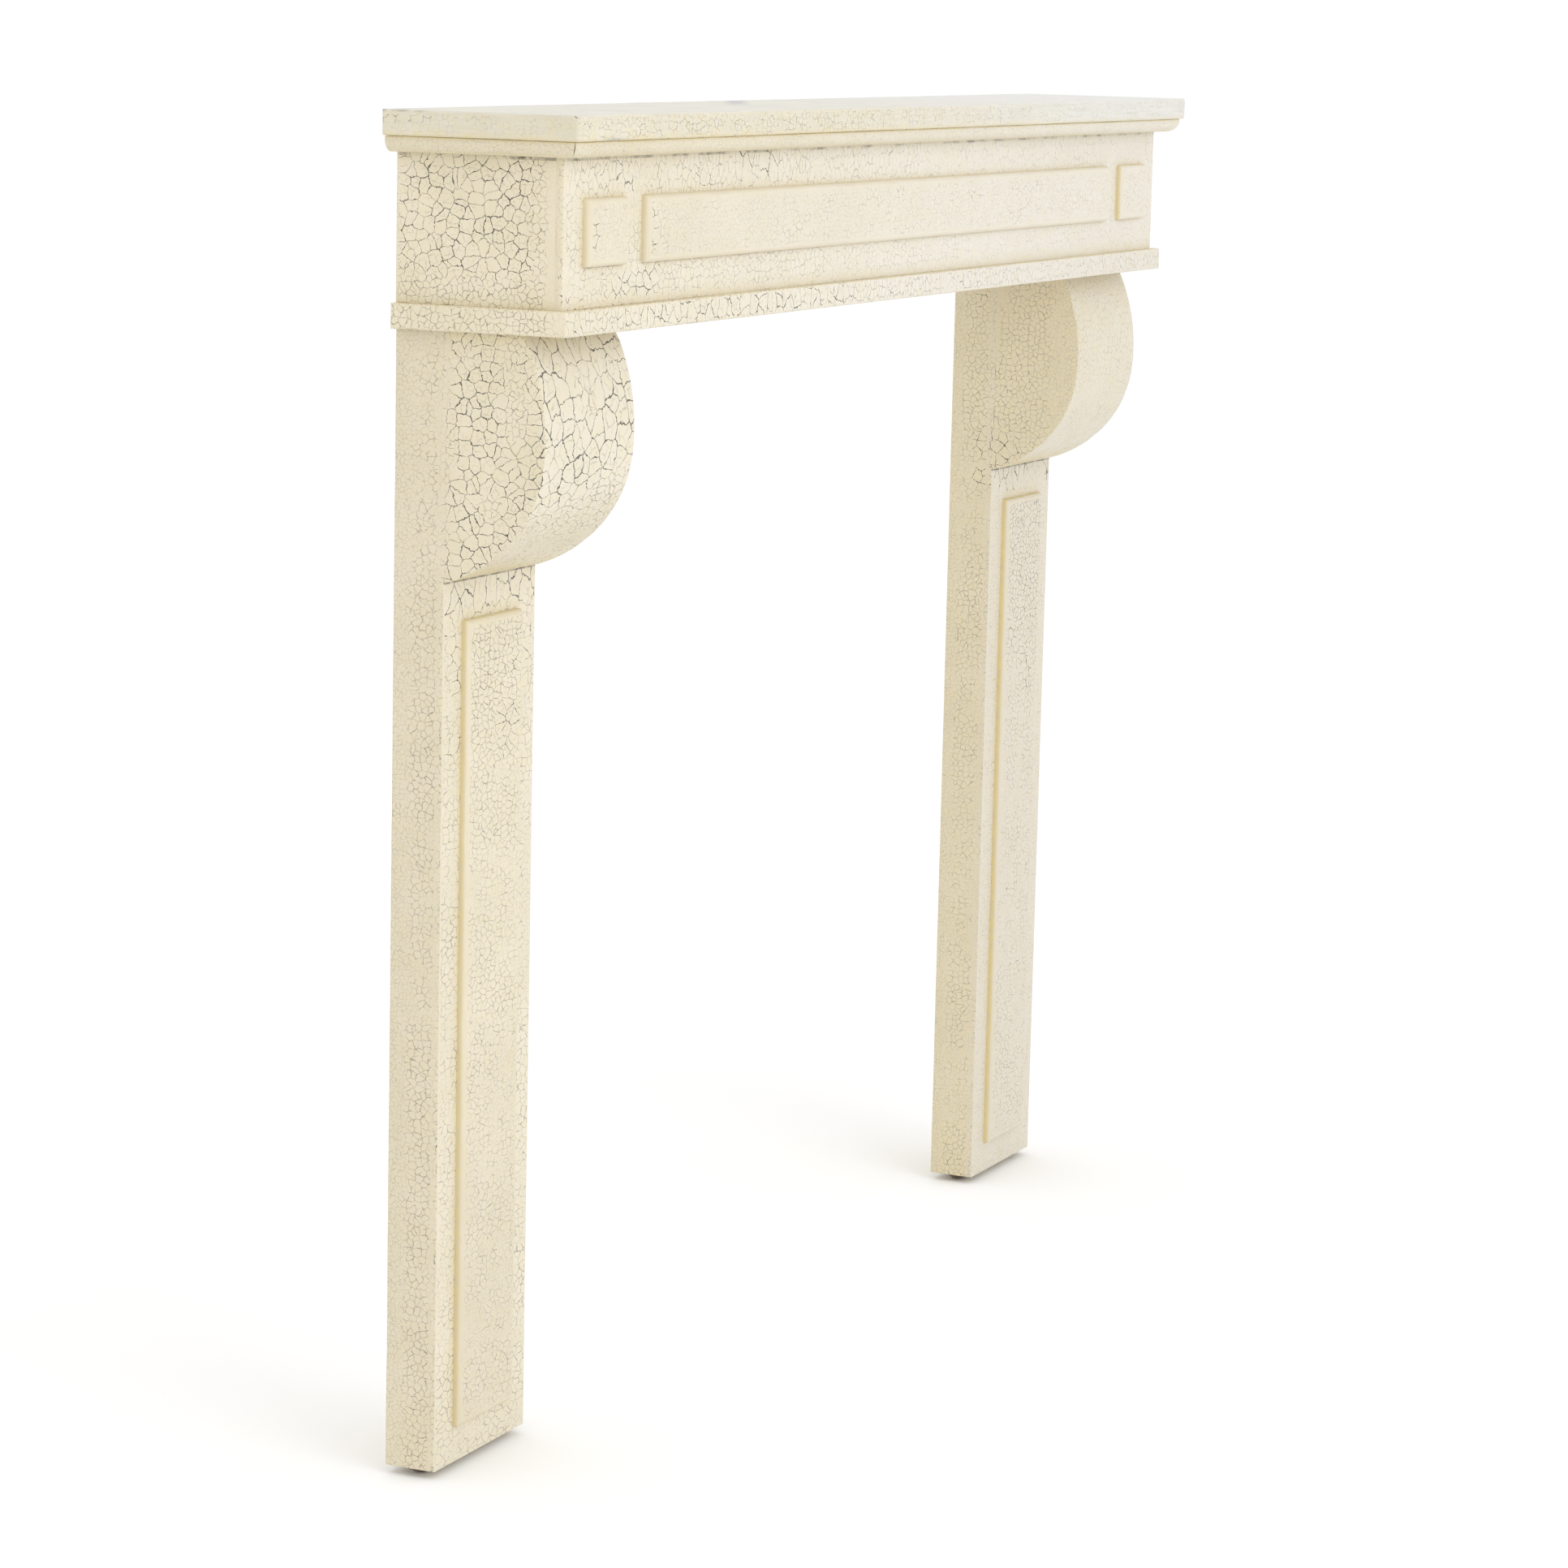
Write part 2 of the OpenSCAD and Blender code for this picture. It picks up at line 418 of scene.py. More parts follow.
@dataclass(frozen=True)
class CracklePaint:
    """Old ivory paint over a dark ground, crackled in three sizes and glazed, with painted shade
    and a painted sheen.

    Attributes:
        name: The material's name.
        tone: Main colour.
        second_tone: Colour of the mottling.
        ground: Colour in the open cracks.
        haze: Colour of the fine cracks.
        glaze_and_shade: Colour of the pooled glaze and of painted shade in corners and under
            overhangs.
        sheen_colour: Colour of the painted sheen, where light would glance off the paint.
        shade_colour: Colour of the painted shade.
        gloss: Roughness of sound paint.
        cracks: Bold, mid and fine cracks.
        streaks: How much the brush marks along the length show.
        wander: Size and reach of each bend in the lines, in mm.
    """

    name: str
    tone: tuple
    second_tone: tuple
    ground: tuple
    haze: tuple
    glaze_and_shade: tuple
    sheen_colour: tuple
    shade_colour: tuple
    gloss: float
    cracks: tuple[Crack, Crack, Crack]
    streaks: float = 0.0
    wander: tuple = ((11.0, 4.0), (3.0, 2.3), (1.0, 0.8))

    def build(self) -> bpy.types.Material:
        """Build the material.

        Returns:
            The material, which reads the paint map and the strengths of its piece.
        """
        material, recipe, shader = new_material(self.name)
        flat = recipe.add("ShaderNodeUVMap", {}, uv_map=PAINT_MAP).outputs[0]
        where = self.shake(recipe, flat)
        lines = self.crack_lines(recipe, flat, where)
        colour = self.colour(recipe, flat, lines)
        links = recipe.tree.links
        links.new(colour, shader.inputs["Base Color"])
        links.new(self.roughness(recipe, flat, lines), shader.inputs["Roughness"])
        links.new(self.relief(recipe, flat, lines), shader.inputs["Normal"])
        shader.inputs["IOR"].default_value = 1.46
        return material

    def shake(self, recipe: Recipe, flat: Feed) -> bpy.types.NodeSocket:
        """Bend and roughen the plain map, so that the lines wander.

        Args:
            recipe: The recipe.
            flat: The paint map.

        Returns:
            The bent map.
        """
        where = flat
        for size, reach in self.wander:
            push = recipe.noise(flat, size, output="Color")
            push = recipe.place("SUBTRACT", push, (0.5, 0.5, 0.5))
            push = recipe.place("MULTIPLY", push, (reach * MM, reach * MM, 0.0))
            where = recipe.place("ADD", where, push)
        return where

    def crack_lines(self, recipe: Recipe, flat: Feed, where: Feed) -> dict:
        """Draw the three sizes of crack; each place has one size, with hairs inside bold cells.

        Args:
            recipe: The recipe.
            flat: The paint map.
            where: The bent map.

        Returns:
            The strength of each size of line, and the tint of each cell.
        """
        width = recipe.ramp(recipe.noise(flat, 7.0), 0.3, 0.7, 0.55, 1.35)
        spread = recipe.noise(flat, 26.0, 2.0)
        patch = recipe.ramp(spread, 0.36, 0.56, 0.55, 1.1)
        bold = recipe.sum("MINIMUM", recipe.times(recipe.strength("bold"), patch), 1.0)
        is_bold = recipe.ramp(bold, 0.36, 0.42)
        lean = recipe.minus(recipe.strength("fine"), recipe.strength("mid"))
        sway = recipe.ramp(recipe.noise(flat, 15.0), 0.3, 0.7, -0.2, 0.2)
        is_fine = recipe.ramp(recipe.plus(lean, sway), -0.02, 0.02)
        edges = []
        marks = []
        for crack in self.cracks:
            edge = recipe.cells(where, crack.cell, crack.scatter, "DISTANCE_TO_EDGE").outputs[0]
            reach = recipe.times(width, crack.line / crack.cell)
            if not marks:
                heavy = recipe.ramp(bold, 0.4, 1.0, 0.55, 1.15)
                reach = recipe.times(reach, heavy)
            edges.append(edge)
            mark = recipe.ramp(edge, recipe.times(reach, 0.6), reach, 1.0, 0.0)
            holes = recipe.noise(flat, crack.cell * 1.3, 1.0)
            low = 0.5 + (crack.broken - 0.5) * 0.5
            whole = recipe.ramp(holes, low - 0.05, low + 0.05)
            marks.append(recipe.times(mark, whole))
        inside = recipe.times(recipe.ramp(edges[0], 0.12, 0.25), 0.5)
        inside = recipe.times(inside, recipe.ramp(spread, 0.4, 0.5))
        rest = recipe.minus(1.0, is_bold)
        share = recipe.plus(rest, recipe.times(inside, is_bold))
        marks[0] = recipe.times(marks[0], is_bold)
        for index, name, chosen in ((1, "mid", recipe.minus(1.0, is_fine)),
                                    (2, "fine", is_fine)):
            wanted = recipe.times(recipe.strength(name), share)
            wanted = recipe.times(wanted, chosen)
            marks[index] = recipe.times(marks[index], wanted)
        tint = recipe.cells(where, self.cracks[1].cell, self.cracks[1].scatter, "F1")
        tint = tint.outputs["Color"]
        return {"marks": marks, "tint": tint}

    def colour(self, recipe: Recipe, flat: Feed, lines: dict) -> bpy.types.NodeSocket:
        """Mix the paint's colour.

        Args:
            recipe: The recipe.
            flat: The paint map.
            lines: The cracks.

        Returns:
            The colour.
        """
        cloud = recipe.ramp(recipe.noise(flat, 70.0, 4.0, 0.6), 0.3, 0.7)
        colour = recipe.blend(cloud, self.tone, self.second_tone)
        # painted sheen: paler where light would glance off the paint
        colour = recipe.blend(recipe.strength("pale"), colour, self.sheen_colour)
        # painted shade: darker where shade falls
        colour = recipe.blend(recipe.strength("painted_shade"), colour, self.shade_colour)
        tint = recipe.add("ShaderNodeSeparateColor", {0: lines["tint"]}).outputs[0]
        tint = recipe.ramp(tint, 0.3, 1.0, 0.0, 0.12)
        colour = recipe.blend(tint, colour, self.glaze_and_shade)
        if self.streaks > 0.0:
            long = recipe.add("ShaderNodeMapping", {"Vector": flat, "Scale": (0.06, 1.0, 1.0)})
            brush = recipe.noise(long.outputs[0], 2.2, 3.0, 0.65)
            brush = recipe.ramp(brush, 0.3, 0.75, 0.0, self.streaks)
            colour = recipe.blend(brush, colour, self.haze)
        # pooled glaze, with painted shade in corners and under overhangs
        glaze_and_shade_mix = recipe.noise(flat, 9.0, 2.0)
        glaze_and_shade_mix = recipe.times(recipe.ramp(glaze_and_shade_mix, 0.2, 0.8, 0.6, 1.2), recipe.strength("glaze_and_shade"))
        colour = recipe.blend(recipe.sum("MINIMUM", glaze_and_shade_mix, 1.0), colour, self.glaze_and_shade)
        inks = (self.ground, self.ground, self.haze)
        for mark, crack, ink in zip(reversed(lines["marks"]), reversed(self.cracks),
                                    reversed(inks)):
            colour = recipe.blend(recipe.times(mark, crack.shade), colour, ink)
        speck = recipe.noise(flat, 1.1, 3.0, 0.7)
        worn = recipe.times(recipe.ramp(speck, 0.35, 0.6), recipe.strength("worn"))
        colour = recipe.blend(worn, colour, WORN)
        bare = recipe.plus(recipe.strength("bare"), recipe.ramp(speck, 0.3, 0.7, -0.25, 0.25))
        bare = recipe.ramp(bare, 0.45, 0.62)
        colour = recipe.blend(bare, colour, BARE_WOOD)
        # dark open joints, and the painted contact shadow along the panels' foot
        seam = recipe.times(recipe.strength("seam"),
                            recipe.ramp(recipe.noise(flat, 6.0, 2.0), 0.3, 0.6,
                                        0.35, 1.0))
        return recipe.blend(seam, colour, self.ground)

    def roughness(self, recipe: Recipe, flat: Feed, lines: dict) -> bpy.types.NodeSocket:
        """Make the paint duller in patches and in its cracks.

        Args:
            recipe: The recipe.
            flat: The paint map.
            lines: The cracks.

        Returns:
            The roughness.
        """
        dull = recipe.ramp(recipe.noise(flat, 24.0, 4.0, 0.6), 0.3, 0.7,
                           self.gloss - 0.07, self.gloss + 0.09)
        open_lines = recipe.sum("MAXIMUM", lines["marks"][0], lines["marks"][1])
        return recipe.plus(dull, recipe.times(open_lines, 0.3))

    def relief(self, recipe: Recipe, flat: Feed, lines: dict) -> bpy.types.NodeSocket:
        """Cut the cracks into the surface and give it a brushed skin.

        Args:
            recipe: The recipe.
            flat: The paint map.
            lines: The cracks.

        Returns:
            The bumped normal.
        """
        height = recipe.times(recipe.noise(flat, 3.5, 4.0, 0.6), 0.16)
        for mark, crack in zip(lines["marks"], self.cracks):
            height = recipe.minus(height, recipe.times(mark, crack.depth))
        bump = recipe.add("ShaderNodeBump", {"Height": height, "Strength": 0.55,
                                             "Distance": 0.25 * MM})
        return bump.outputs[0]


@dataclass(frozen=True)
class MouldedPlastic:
    """Dull moulded plastic, scuffed and dusty.

    Attributes:
        name: The material's name.
        tone: Main colour.
        dust: Colour of the scuffs.
    """

    name: str
    tone: tuple
    dust: tuple

    def build(self) -> bpy.types.Material:
        """Build the material.

        Returns:
            The material, which reads the piece's own coordinates.
        """
        material, recipe, shader = new_material(self.name)
        where = recipe.add("ShaderNodeTexCoord", {}).outputs["Object"]
        grain = recipe.add("ShaderNodeTexNoise", {"Vector": where, "Scale": 900.0,
                                                  "Detail": 4.0}).outputs["Fac"]
        patch = recipe.add("ShaderNodeTexNoise", {"Vector": where, "Scale": 160.0,
                                                  "Detail": 5.0}).outputs["Fac"]
        dusty = recipe.ramp(patch, 0.42, 0.7, 0.05, 0.6)
        colour = recipe.blend(dusty, self.tone, self.dust)
        links = recipe.tree.links
        links.new(colour, shader.inputs["Base Color"])
        links.new(recipe.ramp(patch, 0.3, 0.7, 0.4, 0.62), shader.inputs["Roughness"])
        bump = recipe.add("ShaderNodeBump", {"Height": grain, "Strength": 0.3,
                                             "Distance": 0.1 * MM})
        links.new(bump.outputs[0], shader.inputs["Normal"])
        return material


@dataclass(frozen=True)
class StudioPaper:
    """Plain pale paper for the floor."""

    name: str = "studio_paper"

    def build(self) -> bpy.types.Material:
        """Build the material.

        Returns:
            The material.
        """
        material, _, shader = new_material(self.name)
        shader.inputs["Base Color"].default_value = (0.96, 0.96, 0.96, 1.0)
        shader.inputs["Roughness"].default_value = 0.9
        shader.inputs["Specular IOR Level"].default_value = 0.1
        return material


WORN = linear(150, 156, 165)
BARE_WOOD = linear(139, 108, 76)
GROUND = linear(66, 66, 62)
HAZE = linear(150, 148, 130)
# yellow-brown of the pooled glaze, also used as painted shade in corners and under overhangs
GLAZE_AND_SHADE = linear(220, 203, 150)

IVORY = CracklePaint(
    name="ivory_crackle_paint",
    tone=linear(225, 215, 191),
    second_tone=linear(219, 209, 183),
    ground=GROUND,
    haze=HAZE,
    glaze_and_shade=GLAZE_AND_SHADE,
    # bleached is the painted sheen's colour, soiled the painted shade's
    sheen_colour=linear(226, 221, 211),
    shade_colour=linear(186, 174, 150),
    gloss=0.42,
    cracks=(
        Crack(cell=9.2, line=0.36, scatter=1.0, depth=0.9, shade=0.9, broken=-0.2),
        Crack(cell=5.2, line=0.26, scatter=0.95, depth=0.6, shade=0.66, broken=0.06),
        Crack(cell=3.6, line=0.22, scatter=0.9, depth=0.35, shade=0.62, broken=0.15),
    ),
)

SHELF_WHITE = CracklePaint(
    name="shelf_paint",
    tone=linear(221, 217, 206),
    second_tone=linear(216, 212, 201),
    ground=GROUND,
    haze=linear(176, 176, 170),
    glaze_and_shade=GLAZE_AND_SHADE,
    # bleached is the painted sheen's colour, soiled the painted shade's
    sheen_colour=linear(222, 221, 218),
    shade_colour=linear(186, 180, 166),
    gloss=0.5,
    cracks=(
        Crack(cell=8.5, line=0.28, scatter=0.95, depth=0.5, shade=0.75, broken=0.0),
        Crack(cell=4.6, line=0.22, scatter=0.92, depth=0.35, shade=0.62, broken=0.15),
        Crack(cell=3.0, line=0.18, scatter=0.9, depth=0.25, shade=0.5, broken=0.25),
    ),
    streaks=0.22,
)

GLIDE_TAUPE = MouldedPlastic("glide_plastic", linear(104, 88, 76), linear(158, 146, 130))


# ---------------------------------------------------------------- shaping

@contextmanager
def editing(mesh: bpy.types.Mesh) -> Iterator[bmesh.types.BMesh]:
    """Open a mesh for editing and store it again.

    Args:
        mesh: The mesh.

    Yields:
        The open mesh.
    """
    bm = bmesh.new()
    bm.from_mesh(mesh)
    yield bm
    bm.to_mesh(mesh)
    bm.free()


def evaluated_copy(source: bpy.types.Object, name: str) -> bpy.types.Mesh:
    """Freeze an object's modifiers into a plain mesh and drop the object.

    Args:
        source: The object with its modifiers.
        name: Name of the new mesh.

    Returns:
        The plain mesh.
    """
    graph = bpy.context.evaluated_depsgraph_get()
    mesh = bpy.data.meshes.new_from_object(source.evaluated_get(graph))
    mesh.name = name
    old = source.data
    bpy.data.objects.remove(source)
    if old.users == 0:
        bpy.data.meshes.remove(old)
    return mesh


def eased_block(name: str, low: Vector, high: Vector, easing: dict, rest: float,
                segments: int = 4) -> bpy.types.Mesh:
    """Make a block whose edges are eased by hand, each by its own radius.

    Args:
        name: Name of the mesh.
        low: Lowest corner, in metres.
        high: Highest corner, in metres.
        easing: A radius in mm for each pair of sides that meet.
        rest: The radius of every other edge, in mm.
        segments: Steps across an eased edge.

    Returns:
        The block's mesh.
    """
    radii = {frozenset(pair): radius for pair, radius in easing.items()}
    widest = max([rest, *radii.values()])
    bm = bmesh.new()
    bmesh.ops.create_cube(bm, size=1.0)
    for vert in bm.verts:
        vert.co = [high[i] if vert.co[i] > 0 else low[i] for i in range(3)]
    weight = bm.edges.layers.float.new("bevel_weight_edge")
    for edge in bm.edges:
        sides = []
        for side in Side:
            axis, sign = side.value
            plane = high[axis] if sign > 0 else low[axis]
            if all(abs(vert.co[axis] - plane) < TOUCH for vert in edge.verts):
                sides.append(side)
        edge[weight] = radii.get(frozenset(sides), rest) / widest
    mesh = bpy.data.meshes.new(name)
    bm.to_mesh(mesh)
    bm.free()
    block = bpy.data.objects.new(name, mesh)
    bpy.context.scene.collection.objects.link(block)
    bevel = block.modifiers.new("easing", "BEVEL")
    bevel.width = widest * MM
    bevel.segments = segments
    bevel.limit_method = "WEIGHT"
    bevel.use_clamp_overlap = False
    return evaluated_copy(block, name)


def upright_edges(side: Side, radius: float) -> dict:
    """Ease the two upright edges beside a side, by a radius in mm."""
    return {(Side.LEFT, side): radius, (Side.RIGHT, side): radius}


def rim_edges(top: float, under: float, upright: float) -> dict:
    """Ease the edges round a board that stands out on three sides.

    Args:
        top: Radius of the edges along its top, in mm.
        under: Radius of the edges along its under side, in mm.
        upright: Radius of its front corners, in mm.

    Returns:
        A radius for each pair of sides that meet.
    """
    edges = upright_edges(Side.FRONT, upright)
    for side in (Side.FRONT, Side.LEFT, Side.RIGHT):
        edges |= {(side, Side.TOP): top, (side, Side.UNDER): under}
    return edges


def cut_lines(low: float, high: float, step: float, extra: tuple[float, ...] = ()) -> list[float]:
    """List the places to cut a board across one axis.

    Args:
        low: Low side, in metres.
        high: High side, in metres.
        step: Spacing in mm.
        extra: Further places, in mm.

    Returns:
        The places, in metres, without any too close to another.
    """
    count = max(1, round((high - low) / (step * MM)))
    places = [low + (high - low) * i / count for i in range(1, count)]
    if high - low > THIN_BOARD * MM:
        for gap in EDGE_GAPS:
            places += [low + gap * MM, high - gap * MM]
    places = sorted(places)
    wanted = [place * MM for place in extra if low < place * MM < high]
    kept = list(wanted)
    for place in places:
        if all(abs(place - other) > LEAST_GAP * MM for other in kept):
            kept.append(place)
    return sorted(kept)


def slice_mesh(mesh: bpy.types.Mesh, cuts: tuple[list[float], list[float], list[float]]) -> None:
    """Cut a mesh into a grid, so that it can carry strengths and small dents.

    Args:
        mesh: The mesh.
        cuts: The places to cut along each axis, in metres.
    """
    with editing(mesh) as bm:
        for axis, places in enumerate(cuts):
            normal = Vector([1.0 if i == axis else 0.0 for i in range(3)])
            for place in places:
                everything = bm.verts[:] + bm.edges[:] + bm.faces[:]
                bmesh.ops.bisect_plane(bm, geom=everything, dist=TOUCH,
                                       plane_co=normal * place, plane_no=normal)


def read_values(items: bpy.types.bpy_prop_collection, name: str, width: int = 1,
                kind: type = np.float64) -> Numbers:
    """Read one property of every point, corner or face.

    Args:
        items: The points, corners or faces.
        name: The property.
        width: How many numbers it has.
        kind: The type of its numbers.

    Returns:
        The values, in rows if the width is above 1.
    """
    values = np.empty(len(items) * width, dtype=kind)
    items.foreach_get(name, values)
    return values.reshape(-1, width) if width > 1 else values


def move_points(mesh: bpy.types.Mesh, places: Numbers) -> None:
    """Move a mesh's points to new places."""
    mesh.vertices.foreach_set("co", places.ravel())
    mesh.update()


def read_skin(mesh: bpy.types.Mesh) -> Skin:
    """Read a mesh's points into a skin with empty strengths.

    Args:
        mesh: The finished mesh.

    Returns:
        The skin.
    """
    at = read_values(mesh.vertices, "co", 3)
    facing = read_values(mesh.vertices, "normal", 3)
    return Skin(at, facing, at.min(axis=0), at.max(axis=0))


def settle(mesh: bpy.types.Mesh, waves: float, nicks: float, seed: float,
           flush: tuple[Side, ...] = ()) -> None:
    """Push the surface in a little, in slow waves, with knocks along the eased edges.

    Args:
        mesh: The mesh.
        waves: Depth of the waves, in mm.
        nicks: Depth of the knocks, in mm.
        seed: Moves the pattern.
        flush: Sides that stand against a neighbour, whose plane is kept.
    """
    skin = read_skin(mesh)
    way = skin.facing.copy()
    for side in flush:
        way[skin.gap(side) < 0.05, side.value[0]] = 0.0
    way /= np.maximum(np.linalg.norm(way, axis=1), 0.2)[:, None]
    slow = skin.patches(75.0, 1.0)
    knock = rise(skin.patches(16.0, 2.0 + seed), 0.66, 0.95)
    sharp = 1.0 - rise(np.abs(skin.facing).max(axis=1), 0.86, 0.985)
    depth = (waves * slow + nicks * knock * sharp) * MM
    moved = skin.at - way * depth[:, None]
    move_points(mesh, np.clip(moved, skin.low, skin.high))


def lay_paint_map(mesh: bpy.types.Mesh, low: Numbers, high: Numbers, width: float,
                  height: Callable[[Numbers, Numbers], Numbers]) -> None:
    """Lay the paint map, in metres, on the side that each face looks to.

    Faces of different pieces that lie in one plane share one map, so that the paint runs
    on across the joint.

    Args:
        mesh: The mesh.
        low: The piece's lowest corner.
        high: The piece's highest corner.
        width: How much slower the map runs across the front, so that cells come out wide.
        height: Turns depth and height into the map's height on the front.
    """
    verts = read_values(mesh.loops, "vertex_index", kind=np.int32)
    at = read_values(mesh.vertices, "co", 3)[verts]
    totals = read_values(mesh.polygons, "loop_total", kind=np.int32)
    normals = np.repeat(read_values(mesh.polygons, "normal", 3), totals, axis=0)
    axis = np.abs(normals).argmax(axis=1)
    sign = np.take_along_axis(normals, axis[:, None], axis=1)[:, 0] > 0
    plane = np.where(sign, np.array(high)[axis], np.array(low)[axis])
    key = np.round(plane * PLANES_PER_METRE + 0.1) + axis * AXIS_KEY + sign * SIGN_KEY
    u = np.where(axis == 0, at[:, 1], at[:, 0])
    u = np.where(axis == 1, at[:, 0] * width, u)
    v = np.where(axis == 2, at[:, 1], at[:, 2])
    v = np.where(axis == 1, height(at[:, 1], at[:, 2]), v)
    places = np.stack([way + (key * rate) % reach
                       for way, (rate, reach) in zip((u, v), MAP_MOVES)], axis=1)
    layer = mesh.uv_layers.new(name=PAINT_MAP)
    layer.data.foreach_set("uv", places.ravel())


def carry_strengths(mesh: bpy.types.Mesh, skin: Skin) -> None:
    """Store a skin's strengths on its mesh.

    Args:
        mesh: The mesh.
        skin: The skin, with a value for each of the mesh's points.
    """
    for name in Skin.strengths():
        values = np.clip(getattr(skin, name), 0.0, 1.0).astype(np.float32)
        layer = mesh.attributes.new(name, "FLOAT", "POINT")
        layer.data.foreach_set("value", values)


def stretched(z: Numbers, top: float, bottom: float, squeeze: float, fade: float) -> Numbers:
    """Map heights so that the cells between two heights come out tall.

    Args:
        z: Heights, in metres.
        top: Top of the tall band, in mm.
        bottom: Bottom of the tall band, in mm.
        squeeze: How much slower the map runs there.
        fade: Height over which the band ends, in mm.

    Returns:
        The map's height, in metres.
    """
    margin, count = 5.0, 800
    start = top + margin
    end = min(bottom - fade, float(z.min()) / MM) - margin
    steps = np.linspace(start, end, count)
    inside = rise(steps, bottom - fade, bottom) * (steps <= start)
    rate = 1.0 - (1.0 - squeeze) * inside
    path = np.concatenate([[0.0], np.cumsum(rate[1:] * np.diff(steps))]) + steps[0]
    return np.interp(-z / MM, -steps, path) * MM


# ---------------------------------------------------------------- pieces

@dataclass
class Piece:
    """One solid of the mantelpiece, rebuilt with its dressed surface.

    Attributes:
        node: The node in the frame that it stands for.
        slot: The record's material slot; not used.
        finish: The material that it wears.
        spread: How wide the cells lie across the front.
    """

    node: str
    slot: str
    finish: bpy.types.Material
    spread: float = field(default=0.7, kw_only=True)

    @property
    def low(self) -> Vector:
        """The node's lowest corner."""
        return Vector(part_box(self.node)[0])

    @property
    def high(self) -> Vector:
        """The node's highest corner."""
        return Vector(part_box(self.node)[1])

    @property
    def is_left(self) -> bool:
        """Say whether the piece is on the left half."""
        return self.low.x + self.high.x < 0

    @property
    def seed(self) -> float:
        """A number that moves the piece's random patterns."""
        return len(self.node) * 0.7

    def shape(self) -> bpy.types.Mesh:
        """Build the piece's mesh, at its place."""
        raise NotImplementedError

    def paint(self, skin: Skin) -> None:
        """Set the strengths of the paint."""

    def front_height(self, depth: Numbers, height: Numbers) -> Numbers:
        """Give the paint map's height on the front."""
        return height

    def dress(self) -> bpy.types.Object:
        """Build the piece, paint it and put it in the frame.

        Returns:
            The finished object.
        """
        mesh = self.shape()
        skin = read_skin(mesh)
        lay_paint_map(mesh, self.low, self.high, self.spread, self.front_height)
        self.paint(skin)
        skin.quiet_back()
        carry_strengths(mesh, skin)
        mesh.materials.clear()
        mesh.materials.append(self.finish)
        mesh.polygons.foreach_set("use_smooth", [True] * len(mesh.polygons))
        mesh.set_sharp_from_angle(angle=math.radians(SMOOTH_UNDER))
        piece = bpy.data.objects.new(f"{self.node}_painted", mesh)
        bpy.context.scene.collection.objects.link(piece)
        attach(piece, "root")
        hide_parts(self.node)
        log.info("%s: %d faces", piece.name, len(mesh.polygons))
        return piece


@dataclass
class Board(Piece):
    """A sawn board with eased edges.

    Attributes:
        step: Spacing of its grid, in mm.
        easing: Radius of chosen edges, in mm.
        rest: Radius of the other edges, in mm.
        waves: Depth of the slow waves, in mm.
        nicks: Depth of the knocks, in mm.
        extra: Further cuts along each axis, in mm.
        flush: Sides that stand against a neighbour.
    """

    step: float = 6.0
    easing: dict = field(default_factory=dict)
    rest: float = 0.3
    waves: float = 0.18
    nicks: float = 0.5
    extra: tuple[tuple[float, ...], ...] = ((), (), ())
    flush: tuple[Side, ...] = ()

    def shape(self) -> bpy.types.Mesh:
        """Build the board.

        Returns:
            The mesh, at its place in the frame.
        """
        mesh = eased_block(self.node, self.low, self.high, self.easing, self.rest)
        cuts = tuple(cut_lines(self.low[i], self.high[i], self.step, self.extra[i])
                     for i in range(3))
        slice_mesh(mesh, cuts)
        settle(mesh, self.waves, self.nicks, self.seed, self.flush)
        return mesh


